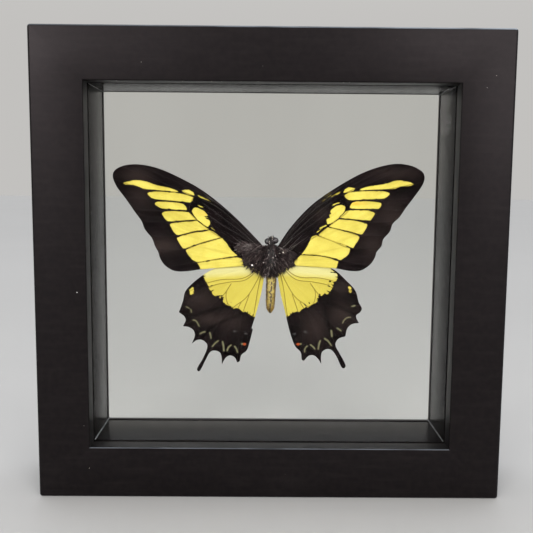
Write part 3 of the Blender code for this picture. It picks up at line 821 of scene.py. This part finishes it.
def forewing_marks(shapes, strokes, ribs, orange_at):
    def marks(places):
        edge = distance_to_marks(places, shapes)
        edge = np.minimum(edge, distance_to_strokes(places, strokes))
        tint = np.hypot((places[:, 0] - orange_at[0]) / 4.0, places[:, 1] - orange_at[1])
        far = np.full(len(places), 50.0)
        return {
            "yellow_edge": edge, "crescent_edge": far, "grey_edge": far, "red_edge": far,
            "cream": np.zeros(len(places)), "orange": orange_at[2] * np.exp(-(tint**2)),
            "rib": distance_to_veins(places, ribs), "fold": far,
            "hind": np.full(len(places), 0.12),
        }
    return marks


def hindwing_marks(name, field, spot, strokes):
    red_x, red_z = RED_SPOTS[name]
    side = math.copysign(1.0, red_x)

    def marks(places):
        x, z = places[:, 0] * side, places[:, 1]
        edge = distance_to_marks(places, [field, spot])
        edge += 0.28 * soft_noise(places, 1.3, 5.0) + 0.14 * soft_noise(places, 3.1, 8.0)
        cream = 0.85 * np.clip((z + 9.0 + 0.06 * x) / 2.6, 0, 1)
        red = np.hypot(x - abs(red_x), (z - red_z) * 1.2) - 0.74
        flank = np.hypot(x - abs(red_x) - 1.1, z - red_z - 0.1) - 0.5
        greys = [np.hypot(x - at_x, (z - at_z) * 1.6) - 0.7
                 for at_x, at_z in ((11.0, -35.4), (16.0, -34.4))]
        by_spot = np.exp(-((np.hypot(x - 35.5, z + 15.5) / 4.0) ** 2))
        return {
            "yellow_edge": edge, "red_edge": red, "cream": cream, "hind": 1 - 0.8 * by_spot,
            "crescent_edge": np.minimum(distance_to_strokes(places, strokes) + 0.07, flank),
            "grey_edge": np.minimum(*greys), "orange": np.zeros(len(places)),
            "rib": np.full(len(places), 50.0), "fold": distance_to_veins(places, FOLDS[name]),
        }
    return marks


def build_wings():
    material = wing_material()
    plans = [
        ("forewing_left", FOREWING_LEFT, FOREWING_Y, FORE_VEINS_LEFT,
         forewing_marks(FORE_MARKS_LEFT, FORE_STROKES_LEFT, CELL_RIBS_LEFT, (-28.6, 18.6, 0.25))),
        ("forewing_right", FOREWING_RIGHT, FOREWING_Y, FORE_VEINS_RIGHT,
         forewing_marks(FORE_MARKS_RIGHT, FORE_STROKES_RIGHT, CELL_RIBS_RIGHT, (37.0, 23.6, 0.6))),
        ("hindwing_left", HINDWING_LEFT, HINDWING_Y, HIND_VEINS_LEFT,
         hindwing_marks("hindwing_left", HIND_FIELD_LEFT, HIND_SPOT_LEFT, HIND_STROKES_LEFT)),
        ("hindwing_right", HINDWING_RIGHT, HINDWING_Y, HIND_VEINS_RIGHT,
         hindwing_marks("hindwing_right", HIND_FIELD_RIGHT, HIND_SPOT_RIGHT, HIND_STROKES_RIGHT)),
    ]
    for name, outline, plane_y, veins, marks in plans:
        build_wing(name, outline, plane_y, veins, material, marks)


# ---------------------------------------------------------------- body and fur
# Stations down the body: z, middle x, half width and half depth, in millimetres.
HEAD = [
    (8.6, 0.4, 0.2, 0.2), (8.3, 0.4, 0.9, 1), (7.4, 0.35, 1.5, 1.7), (6.4, 0.3, 1.7, 2.1),
    (5.4, 0.25, 1.5, 1.9), (4.7, 0.2, 1, 1.3), (4.3, 0.2, 0.3, 0.4),
]
THORAX = [
    (5.3, 0.2, 0.4, 0.5), (4.9, 0.2, 1.7, 1.8), (3.8, 0.2, 2.8, 3), (2.2, 0.2, 3.6, 4.1),
    (0.4, 0.2, 4, 4.5), (-2.4, 0.2, 4, 4.5), (-5, 0.25, 3.5, 3.9), (-7.2, 0.3, 2.7, 3),
    (-8.6, 0.3, 1.9, 2.2), (-9, 0.3, 0.6, 0.8),
]
ABDOMEN = [
    (-7.4, 0.3, 0.5, 0.6), (-7.8, 0.3, 1.9, 2.2), (-9.6, 0.3, 2.25, 2.6), (-12, 0.35, 2.35, 2.7),
    (-14.6, 0.2, 2.25, 2.6), (-17, 0.15, 2.2, 2.5), (-19.4, 0.1, 2.15, 2.4), (-21.6, 0.05, 2.05, 2.3),
    (-22.7, 0.05, 1.95, 2.2), (-23.8, 0.05, 1.75, 1.9), (-24.9, 0, 1.15, 1.3), (-25.7, 0, 0.5, 0.6),
    (-26, 0.05, 0.08, 0.1),
]
ABDOMEN_JOINTS = (-9.8, -12.2, -14.6, -16.9, -19.1, -21.2, -22.8)
ABDOMEN_DOTS = [
    (0.36, [(0.45, -11.8), (0.55, -12.3)]),
    (0.34, [(0.5, -13.4), (0.35, -14.8), (0.1, -15.6)]),
    (0.28, [(-0.55, -15.8), (-0.1, -16.6), (0.4, -17.1)]),
    (0.3, [(0.45, -17.8), (0.1, -19), (0.3, -20.3)]),
    (0.26, [(-1.7, -17.4), (-1.75, -19.2)]),
    (0.24, [(1.6, -12.2), (1.7, -14.6)]),
    (0.24, [(-1.55, -11.6), (-1.75, -14.2)]),
    (0.34, [(0.1, -21.6), (-0.05, -23), (-0.25, -24.8), (0, -25.9)]),
]
# The cape of fur over the wing roots, on each side of the body.
CAPE_LEFT = [
    (0, 4), (-4, 5.4), (-9, 6.2), (-14.5, 6.8), (-15.5, 3), (-12.6, -0.6), (-12.2, -2.4), (-11, -4.4),
    (-8.5, -6.2), (-4.5, -8.3), (-2.4, -9.2), (0, -9),
]
CAPE_RIGHT = [
    (0, 4), (4, 4.2), (8, 3), (11.6, 1), (10.6, -1.4), (10.6, -3.2), (9.4, -4.7), (6, -6.4), (3.6, -8.2),
    (2.5, -9), (0, -9),
]
FUR_SPREADS_FROM = (0.2, 9.0)
# Dust, in millimetres: place and size. In the fur it is x, height above the wing and z.
FUR_DUST = [
    (-8.2, 1.9, -3.9, 0.46), (-6.4, 2.6, -3, 0.19), (5.4, 3.3, 2.1, 0.34), (4, 3.4, 1.6, 0.16),
    (-3.2, 4.5, -2.4, 0.28), (0.9, 5.2, -0.2, 0.15), (0.6, 2.2, 8.9, 0.18),
]
FACE_DUST = [(-81.8, 90.0, 0.21), (-80.0, 32.0, 0.13), (-78.0, 13.0, 0.16), (-53.6, 185.0, 0.12),
             (88.0, 176.0, 0.12), (91.5, 181.0, 0.11)]
LIP_DUST = [(-64.0, 0.12), (-37.0, 0.16), (-25.0, 0.17), (-21.0, 0.14), (-13.0, 0.10), (-6.0, 0.12),
            (15.5, 0.12), (29.0, 0.16), (31.4, 0.15), (45.0, 0.13), (58.0, 0.11)]
WALL_DUST = [(-2.0, 166.0, 0.20), (-1.2, 163.6, 0.30), (3.0, 158.0, 0.14), (5.0, 170.0, 0.16)]
# Tufts of pale hair on the head and thorax: x, z and length.
PALE_TUFTS = [
    (-0.75, 6.9, 0.9), (-0.6, 6.0, 0.8), (0.7, 7.8, 0.7), (0.7, 8.7, 0.7), (1.4, 3.6, 0.9),
    (-0.9, 3.2, 0.8), (2.1, 0.9, 0.9), (1.0, 0.0, 0.8), (-1.0, 1.2, 0.8),
]
# Long pale hairs that lie over the forewing roots: root, tip and height above the wing.
LONG_HAIRS = [
    ((5.4, 2), (17.6, 8.9), 1.6), ((5, 1), (13.6, 5.4), 1.9), ((6.4, 2.6), (15, 9.6), 1.3),
    ((3.6, 2.4), (10.8, 8.8), 2.2), ((-4.6, 2.4), (-17, 6), 1.6), ((-5.4, 1.6), (-14.2, 3.2), 1.5),
    ((-6.2, 3), (-15.4, 8.2), 1.2), ((-4, 3.4), (-11.6, 8.4), 1.8), ((-7, 2.2), (-19.2, 8.6), 1),
]


def section_at(stations, z):
    """Middle x, half width and half depth at heights z, eased between the stations."""
    rows = np.array(stations)[::-1]
    return [np.interp(z, rows[:, 0], rows[:, column]) for column in (1, 2, 3)]


def lofted_body(stations, rows, around, joints=()):
    """Rings of points over the stations, narrowed a little at the joints."""
    top, bottom = stations[0][0], stations[-1][0]
    smooth = smooth_path([(z, width) for z, _, width, _ in stations], False, 0.2)
    smooth_depth = smooth_path([(z, depth) for z, _, _, depth in stations], False, 0.2)
    rings = []
    for row in range(rows + 1):
        z = top + (bottom - top) * (1 - math.cos(math.pi * row / rows)) / 2
        middle = section_at(stations, z)[0]
        width = np.interp(-z, -smooth[:, 0], smooth[:, 1])
        depth = np.interp(-z, -smooth_depth[:, 0], smooth_depth[:, 1])
        pinch = 1 - 0.07 * sum(math.exp(-(((z - joint) / 0.22) ** 2)) for joint in joints)
        ring = []
        for column in range(around):
            angle = 2 * math.pi * column / around
            x = middle + width * pinch * math.sin(angle)
            y = -depth * pinch * math.cos(angle)
            bumpy = 1 + 0.03 * noise.noise(Vector((x * 0.9, y * 0.9, z * 0.9)))
            ring.append((x * bumpy * MM, BODY_Y + y * bumpy * MM, BODY_Z + z * MM))
        rings.append(ring)
    return rings


def fur_material():
    material, tree, shader = new_material("fur", Roughness=0.5, Specular_IOR_Level=0.15)
    tone = attribute(tree, "tone")
    colour = layered(
        tree, (0.0022, 0.0013, 0.0015),
        (ramp(tree, tone, 0.0, 0.55), (0.085, 0.050, 0.052)),
        (ramp(tree, tone, 0.5, 1.0), (0.46, 0.42, 0.40)),
        (attribute(tree, "gold"), (0.34, 0.235, 0.050)),
        (ramp(tree, noise_at(tree, 1500, 2), 0.3, 0.8, 0.0, 0.3), (0.003, 0.002, 0.002)))
    plug(tree, shader.inputs["Base Color"], colour)
    return material


def skin_material():
    material, tree, shader, spots = mottled(
        "body_skin", 1800, 4, 0.35, 0.7, (0.003, 0.0022, 0.0022), (0.014, 0.010, 0.0095), Roughness=0.7)
    bump(tree, shader, spots, 0.0001)
    return material


def abdomen_material():
    """Ochre scales: cream flanks up the back, brown stripes down the sides and a broken
    dark line down the middle. The mesh holds around, 0 in front and 1 behind, and along,
    the height in millimetres."""
    material, tree, shader = new_material("abdomen_scales")
    around, along = attribute(tree, "around"), attribute(tree, "along")
    scales = noise_at(tree, 3600, 3)
    blotch = noise_at(tree, 750, 3)
    olive = noise_at(tree, 1250, 3)
    shifted = plus(tree, around, about_zero(tree, blotch, 0.22))
    flank = times(tree, ramp(tree, shifted, 0.26, 0.14), ramp(tree, along, -23.0, -12.0, 0.25, 0.85))
    stripe = times(tree, ramp(tree, shifted, 0.22, 0.32), ramp(tree, shifted, 0.50, 0.38))
    stripe = times(tree, stripe, ramp(tree, along, -24.0, -13.0, 0.45, 0.95))
    dots = plus(tree, attribute(tree, "dots"), about_zero(tree, scales, 0.5))
    colour = layered(
        tree, (0.120, 0.068, 0.010),
        (ramp(tree, blotch, 0.3, 0.7), (0.27, 0.175, 0.026)),
        (flank, (0.40, 0.315, 0.080)),
        (stripe, (0.060, 0.029, 0.007)),
        (ramp(tree, along, -9.6, -9.0, 0, 0.7), (0.22, 0.12, 0.02)),
        (ramp(tree, along, -22.2, -22.8, 0, 0.55), (0.20, 0.105, 0.012)),
        (ramp(tree, dots, 0.20, -0.12, 0, 0.92), (0.022, 0.012, 0.005)),
        (ramp(tree, olive, 0.47, 0.60, 0, 0.75), (0.085, 0.052, 0.012)),
        (ramp(tree, scales, 0.62, 0.75, 0, 0.5), (0.66, 0.60, 0.33)))
    plug(tree, shader.inputs["Base Color"], colour)
    plug(tree, shader.inputs["Roughness"], ramp(tree, scales, 0.2, 0.8, 0.38, 0.6))
    bump(tree, shader, scales, 0.00006)
    return material


def eye_material():
    material, tree, shader = new_material("eye", Roughness=0.16, Coat_Weight=0.6, Coat_Roughness=0.08)
    # painted shade: the eye darkens towards its rim, by the angle it is seen at
    facing = node(tree, "LayerWeight", Blend=0.35).outputs["Facing"]
    colour = layered(
        tree, (0.012, 0.010, 0.011),
        (ramp(tree, noise_at(tree, 700, 2), 0.3, 0.7), (0.045, 0.038, 0.042)),
        (ramp(tree, facing, 0.12, 0.42), (0.003, 0.002, 0.002)))
    plug(tree, shader.inputs["Base Color"], colour)
    bump(tree, shader, cells_at(tree, 9000), 0.00001)
    return material


def ball(place, radii, rings=20, around=32):
    """Vertices and faces of an ellipsoid at a place in metres."""
    turns = [2 * math.pi * step / around for step in range(around)]
    loops = []
    for row in range(1, rings):
        out, up = math.sin(math.pi * row / rings), math.cos(math.pi * row / rings)
        loops.append([(place[0] + radii[0] * out * math.cos(turn),
                       place[1] + radii[1] * out * math.sin(turn),
                       place[2] - radii[2] * up) for turn in turns])
    return swept_rings(loops)


def joined(shapes):
    verts, faces = [], []
    for shape_verts, shape_faces in shapes:
        start = len(verts)
        verts += shape_verts
        faces += [tuple(index + start for index in face) for face in shape_faces]
    return verts, faces


def strand_mesh(roots, along, lift, length, radius, rise, rng):
    """Tapering three-sided hairs. Each leaves its root along its own direction, rises by
    a share of its length, and bows back down to its tip."""
    count = len(roots)
    along = along / np.linalg.norm(along, axis=1, keepdims=True)
    side = np.cross(along, lift)
    side /= np.linalg.norm(side, axis=1, keepdims=True)
    up = np.cross(side, along)
    sway = rng.normal(0, 0.10, count)
    cells = []
    for t, width in ((0.0, 1.0), (0.4, 0.85), (0.75, 0.5)):
        spine = roots + (along * t + side * (sway * t * t)[:, None]) * length[:, None]
        spine = spine + up * (rise * length * (t - 0.75 * t * t))[:, None]
        for corner in range(3):
            angle = 2 * math.pi * corner / 3 + math.pi / 2
            ring = side * math.cos(angle) + up * math.sin(angle)
            cells.append(spine + ring * (radius * width)[:, None])
    tip = roots + (along + side * sway[:, None] + up * (rise * 0.25)[:, None]) * length[:, None]
    cells.append(tip)
    verts = np.stack(cells, axis=1).reshape(-1, 3)
    quads = [(r * 3 + c, r * 3 + (c + 1) % 3, r * 3 + 3 + (c + 1) % 3, r * 3 + 3 + c)
             for r in range(2) for c in range(3)]
    tips = [(6 + c, 6 + (c + 1) % 3, 9) for c in range(3)]
    faces = []
    for index in range(count):
        start = index * 10
        faces += [tuple(start + corner for corner in face) for face in quads + tips]
    return verts, faces


def body_seeds(stations, count, rng, down, length_range, lift_share):
    """Roots, directions and lift of hairs spread over a lofted body."""
    z = rng.uniform(stations[-1][0] + 0.3, stations[0][0] - 0.2, count)
    angle = rng.uniform(-math.pi, math.pi, count)
    middle, width, depth = section_at(stations, z)
    out = np.column_stack([np.sin(angle) / width, -np.cos(angle) / depth, np.zeros(count)])
    out /= np.linalg.norm(out, axis=1, keepdims=True)
    roots = np.column_stack([
        (middle + 0.94 * width * np.sin(angle)) * MM,
        BODY_Y - 0.94 * depth * np.cos(angle) * MM,
        BODY_Z + z * MM,
    ])
    spread = np.column_stack([roots[:, 0] / MM * 0.16, np.zeros(count), np.full(count, down)])
    along = spread + out * lift_share + rng.normal(0, 0.16, (count, 3))
    along /= np.linalg.norm(along, axis=1, keepdims=True)
    length = rng.uniform(*length_range, count) * MM
    return roots, along, out, length, angle


def cape_seeds(outline, count, rng):
    """Hairs lying over the wing roots, none of whose tips passes the cape's edge by much."""
    edge = smooth_path(outline, True, 0.4)
    low, high = edge.min(0), edge.max(0)
    seeds = rng.uniform(low, high, (count * 3, 2))
    seeds = seeds[distance_to(seeds, edge, True) < -0.2][:count]
    count = len(seeds)
    away = seeds - np.array(FUR_SPREADS_FROM)
    away /= np.linalg.norm(away, axis=1, keepdims=True)
    away += rng.normal(0, 0.20, (count, 2))
    length = rng.uniform(1.4, 3.2, count)
    spiky = rng.uniform(0, 1, count) < 0.34
    reach = np.where(spiky, rng.uniform(0.8, 2.5, count), rng.uniform(-1.0, 0.0, count))
    for _ in range(5):
        over = distance_to(seeds + away * length[:, None], edge, True) > reach
        length = np.where(over, length * 0.75, length)
    thickness = 0.25 + 2.3 * np.exp(-np.clip(np.abs(seeds[:, 0]) - 3.0, 0, None) / 2.4)
    level = rng.uniform(0, 1, count) ** 0.7 * thickness
    roots = np.column_stack([
        seeds[:, 0] * MM, FOREWING_Y - (0.05 + level) * MM, BODY_Z + seeds[:, 1] * MM])
    along = np.column_stack([away[:, 0], 0.25 * level / thickness, away[:, 1]])
    along /= np.linalg.norm(along, axis=1, keepdims=True)
    return roots, along, forward(count), length * MM, seeds


def tufted(roots, along, lift, length, tone, hairs, root_spread, tip_spread, rng):
    """Makes each seed a tuft of hairs whose roots lie apart and whose tips draw together."""
    roots, along, lift = [np.repeat(each, hairs, axis=0) for each in (roots, along, lift)]
    length, tone = np.repeat(length, hairs), np.repeat(tone, hairs)
    tips = roots + along * (length * rng.uniform(0.7, 1.08, len(length)))[:, None]
    tips += rng.normal(0, tip_spread * MM, tips.shape)
    roots = roots + rng.normal(0, root_spread * MM, roots.shape)
    along = tips - roots
    length = np.linalg.norm(along, axis=1)
    tone = np.clip(tone + rng.normal(0, 0.10, len(tone)), 0, 1)
    return roots, along, lift, length, tone


def on_body(x, forward, z):
    """A place in metres, from millimetres about the middle of the body."""
    return (x * MM, BODY_Y - forward * MM, BODY_Z + z * MM)


def on_wing(x, forward, z):
    """A place in metres, from millimetres about the plane of the forewings."""
    return (x * MM, FOREWING_Y - forward * MM, BODY_Z + z * MM)


def build_body():
    skin = skin_material()
    head = swept_rings(lofted_body(HEAD, 24, 36))
    thorax = swept_rings(lofted_body(THORAX, 48, 48))
    make_piece("butterfly_thorax", *joined([thorax, head]), skin, "furred_body", ["butterfly_body"])

    rings = lofted_body(ABDOMEN, 120, 56, ABDOMEN_JOINTS)
    verts, faces = swept_rings(rings)
    places = (np.array(verts) - np.array([0, BODY_Y, BODY_Z])) / MM
    middle = section_at(ABDOMEN, places[:, 2])[0]
    around = np.abs(np.arctan2(places[:, 0] - middle, -places[:, 1])) / math.pi
    dots = distance_to_strokes(places[:, [0, 2]], ABDOMEN_DOTS, 0.3)
    dots = np.where(around > 0.5, 5.0, dots)
    make_piece("butterfly_abdomen", verts, faces, abdomen_material(), "furred_body",
               attributes={"around": around, "along": places[:, 2], "dots": dots})

    eyes = [ball(on_body(x, 0.6, z), (r * MM, r * MM, 1.05 * r * MM))
            for x, z, r in ((-1.55, 6.6, 1.3), (2.15, 6.95, 1.35))]
    make_piece("butterfly_eyes", *joined(eyes), eye_material(), "furred_body")
    palps = [ball(on_body(x, 1.2, z), (0.42 * MM, 0.7 * MM, 0.85 * MM), 12, 16)
             for x, z in ((0.05, 8.3), (0.95, 8.4))]
    make_piece("butterfly_palps", *joined(palps), skin, "furred_body")


def tuft_tones(count, rng, pale_share):
    tone = 0.66 * rng.uniform(0, 1, count) ** 2.0
    return np.where(rng.uniform(0, 1, count) < pale_share, rng.uniform(0.55, 0.85, count), tone)


def add_fur(name, strands, thinnest, thickest, material, rng, gold=0.0):
    """Makes one piece of hairs; gold, for each hair or for all, tints them."""
    roots, along, lift, length, tone = strands
    radius = rng.uniform(thinnest, thickest, len(roots)) * MM
    rise = rng.uniform(0.10, 0.45, len(roots))
    verts, faces = strand_mesh(roots, along, lift, length, radius, rise, rng)
    gold = np.broadcast_to(gold, len(roots))
    make_piece(name, verts, faces, material, "furred_body",
               attributes={"tone": np.repeat(tone, 10), "gold": np.repeat(gold, 10)})


def forward(count):
    """The way out of the wings' plane, once for each hair."""
    return np.tile((0.0, -1.0, 0.0), (count, 1))


def build_fur():
    material = fur_material()
    rng = np.random.default_rng(7)
    hairs = 11

    def body_fur(name, stations, count, down, lengths, lift_share, pale, spreads, widths):
        roots, along, lift, length, _ = body_seeds(stations, count, rng, down, lengths, lift_share)
        tone = tuft_tones(count, rng, pale)
        strands = tufted(roots, along, lift, length, tone, hairs, *spreads, rng)
        add_fur(name, strands, *widths, material, rng)

    body_fur("thorax_fur", THORAX, THORAX_TUFTS, -0.75, (1.3, 2.6), 0.42, 0.06, (0.20, 0.07),
             (0.022, 0.045))
    roots = np.array([on_body(x, 2.2 + 0.34 * (8.7 - z), z) for x, z, _ in PALE_TUFTS])
    count = len(roots)
    along = np.tile((0.05, -0.35, -0.9), (count, 1))
    length = np.array([reach * MM for _, _, reach in PALE_TUFTS])
    strands = tufted(roots, along, forward(count), length, np.full(count, 0.97), hairs, 0.10, 0.05, rng)
    add_fur("pale_tufts", strands, 0.028, 0.044, material, rng)
    body_fur("head_fur", HEAD, HEAD_TUFTS, 0.45, (0.5, 1.1), 0.55, 0.22, (0.13, 0.04),
             (0.016, 0.030))

    for name, outline in (("cape_fur_left", CAPE_LEFT), ("cape_fur_right", CAPE_RIGHT)):
        roots, along, lift, length, seeds = cape_seeds(outline, CAPE_TUFTS, rng)
        patch = patch_at(seeds, -11.0, 5.0, 4.5, 1.8)
        tone = tuft_tones(len(roots), rng, 0.05) + 0.45 * patch * rng.uniform(0, 1, len(roots))
        strands = tufted(roots, along, lift, length, tone, hairs, 0.24, 0.08, rng)
        add_fur(name, strands, 0.022, 0.050, material, rng)

    roots = np.array([on_wing(x, up, z) for (x, z), _, up in LONG_HAIRS])
    along = np.array([on_wing(x, 0.4 * up, z) for _, (x, z), up in LONG_HAIRS]) - roots
    length = np.linalg.norm(along, axis=1)
    strands = (roots, along, forward(len(roots)), length, np.full(len(roots), 0.85))
    add_fur("long_hairs", strands, 0.028, 0.040, material, rng)

    count = 700
    roots, along, lift, length, angle = body_seeds(ABDOMEN, count, rng, -1.0, (0.35, 0.75), 0.10)
    side = np.abs(np.abs(angle) / math.pi - 0.47) < 0.10
    gold = np.where(side, 0.2, rng.uniform(0.5, 1.0, count))
    strands = (roots, along, lift, length, np.full(count, 0.35))
    add_fur("abdomen_fuzz", strands, 0.012, 0.020, material, rng, gold)


def crumbs(places, seed):
    """Small ragged flakes, each given as a place in metres and a size in millimetres."""
    shapes = []
    for index, (place, size) in enumerate(places):
        verts, faces = ball(place, (size * MM, 0.5 * size * MM, 0.75 * size * MM), 8, 10)
        shift = Vector((index, seed, 0))
        ragged = [Vector(vert) + noise.noise_vector(Vector(vert) * 2500 + shift) * size * 0.5 * MM
                  for vert in verts]
        shapes.append(([tuple(vert) for vert in ragged], faces))
    return joined(shapes)


def build_dust():
    """Crumbs of pale dust in the fur, on the rails and on the lining's right side."""
    material = mottled("dust_flake", 900, 2, 0.3, 0.7, (0.55, 0.48, 0.38), (0.90, 0.88, 0.86),
                       Roughness=0.8)[0]
    in_fur = [(on_wing(*place), size) for *place, size in FUR_DUST]
    make_piece("dust_flakes", *crumbs(in_fur, 0), material, "furred_body")
    lip_z = HALF + OPENING_HALF
    wall_x, wall_y = OPENING_HALF - 0.05 * MM, (SPACER[0].y + SPACER[1].y) / 2
    on_frame = [((x * MM, FRONT + 0.01 * MM, z * MM), size) for x, z, size in FACE_DUST]
    on_frame += [((x * MM, FRONT + 0.5 * MM, lip_z), size) for x, size in LIP_DUST]
    on_frame += [((wall_x, wall_y + back * MM, z * MM), size) for back, z, size in WALL_DUST]
    make_piece("rail_dust", *crumbs(on_frame, 9), material, "black_wood")


# ---------------------------------------------------------------- post and hanger
def build_post():
    """The clear rod that carries the butterfly, with a collar of glue at each end."""
    material = clear("clear_acrylic", 1.49, (0.95, 0.965, 0.96), 1.0)
    low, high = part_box("mounting_post")
    middle_x, middle_z = (low.x + high.x) / 2, (low.z + high.z) / 2
    radius = (high.x - low.x) / 2
    profile = [(radius - EDGE, low.y), (radius, low.y + EDGE), (radius, high.y - EDGE),
               (radius - EDGE, high.y)]
    verts, faces = swept_rings([round_ring(middle_x, y, middle_z, r) for r, y in profile])
    post = make_piece("acrylic_post", verts, [face[::-1] for face in faces], material,
                      "clear_acrylic", ["mounting_post"], sharp=30)
    # each ring of a collar: its radius as a share of the rod's, and its distance from the end
    collar = [(1.02, 0.9), (1.15, 0.6), (1.45, 0.25), (1.75, 0.08), (1.80, 0.02)]
    shapes = []
    for end_y, inward in ((low.y, 1), (high.y, -1)):
        rings = [round_ring(middle_x, end_y + inward * away * MM, middle_z, radius * swell)
                 for swell, away in collar[::-inward]]
        shapes.append(swept_rings(rings))
    glue = make_piece("glue_collars", *joined(shapes), material, "clear_acrylic")
    for piece in (post, glue):
        piece.visible_shadow = False


def plated_steel():
    material, tree, shader, blotch = mottled(
        "plated_steel", 180, 4, 0.35, 0.7, (0.46, 0.44, 0.38), (0.66, 0.65, 0.62), Metallic=1.0)
    scratches = noise_at(tree, 900, 5, (0.08, 1, 1))
    plug(tree, shader.inputs["Roughness"], ramp(tree, scratches, 0.3, 0.7, 0.24, 0.46))
    bump(tree, shader, scratches, 0.00002)
    return material


def finish_hanger():
    material = plated_steel()
    for name in ("sawtooth_hanger", "hanger_nail_left", "hanger_nail_right"):
        part = bpy.data.objects[name]
        part.data.materials.clear()
        part.data.materials.append(material)


# ---------------------------------------------------------------- stage
def build_floor():
    material, tree, shader = new_material("pale_floor", Roughness=0.7)
    tone = noise_at(tree, 3, 3)
    plug(tree, shader.inputs["Base Color"], mix(tree, tone, (0.49, 0.48, 0.47), (0.53, 0.52, 0.51)))
    reach = 6.0
    corners = [(-reach, -reach, 0), (reach, -reach, 0), (reach, reach, 0), (-reach, reach, 0)]
    mesh = bpy.data.meshes.new("floor")
    mesh.from_pydata(corners, [], [(0, 1, 2, 3)])
    mesh.materials.append(material)
    floor = bpy.data.objects.new("floor", mesh)
    bpy.context.scene.collection.objects.link(floor)


def build_lights():
    """A soft room: dim in front, paler behind, and bright above and high at the back."""
    world = bpy.data.worlds.new("studio")
    world.use_nodes = True
    tree = world.node_tree
    direction = node(tree, "SeparateXYZ", Vector=node(tree, "TexCoord").outputs["Generated"])
    back, up = direction.outputs["Y"], direction.outputs["Z"]
    high_back = times(tree, ramp(tree, up, 0.30, 0.60), ramp(tree, back, -0.05, 0.30))
    shade = layered(
        tree, (0.055, 0.052, 0.050),
        (ramp(tree, back, -0.25, 0.35), (0.54, 0.53, 0.515)),
        (ramp(tree, up, 0.15, 0.80), (0.95, 0.95, 0.94)),
        (high_back, (1.30, 1.36, 1.44)))
    plug(tree, tree.nodes["Background"].inputs["Color"], shade)
    bpy.context.scene.world = world
    add_lamp("left_softbox", (-0.74, -1.46, 0.60), 0.7, 2.55)
    add_lamp("right_softbox", (0.74, -1.46, 0.60), 0.7, 2.55)


def add_lamp(name, place, size, power):
    lamp = bpy.data.lights.new(name, "AREA")
    lamp.shape = "SQUARE"
    lamp.size = size
    lamp.energy = power
    lamp.spread = math.radians(70)
    holder = bpy.data.objects.new(name, lamp)
    holder.location = place
    aim = Vector((0, 0, 0.1)) - Vector(place)
    holder.rotation_euler = aim.to_track_quat("-Z", "Y").to_euler()
    bpy.context.scene.collection.objects.link(holder)


def build_camera():
    camera = bpy.data.cameras.new("camera")
    camera.sensor_width = 36.0
    camera.lens = 49.9
    camera.clip_start = 0.01
    holder = bpy.data.objects.new("camera", camera)
    tilt_down, pan_right, roll = math.radians(6.56), math.radians(0.36), math.radians(0.47)
    holder.matrix_world = (
        Matrix.Translation((-0.0039, FRONT - 0.3087, HALF + 0.0371))
        @ Matrix.Rotation(-pan_right, 4, "Z")
        @ Matrix.Rotation(math.pi / 2 - tilt_down, 4, "X")
        @ Matrix.Rotation(roll, 4, "Z")
    )
    bpy.context.scene.collection.objects.link(holder)
    bpy.context.scene.camera = holder
    bpy.context.scene.view_settings.view_transform = "Standard"


build_rails()
build_strips()
build_panes()
build_sealant()
build_wings()
build_body()
build_fur()
build_dust()
build_post()
finish_hanger()
build_floor()
build_lights()
build_camera()
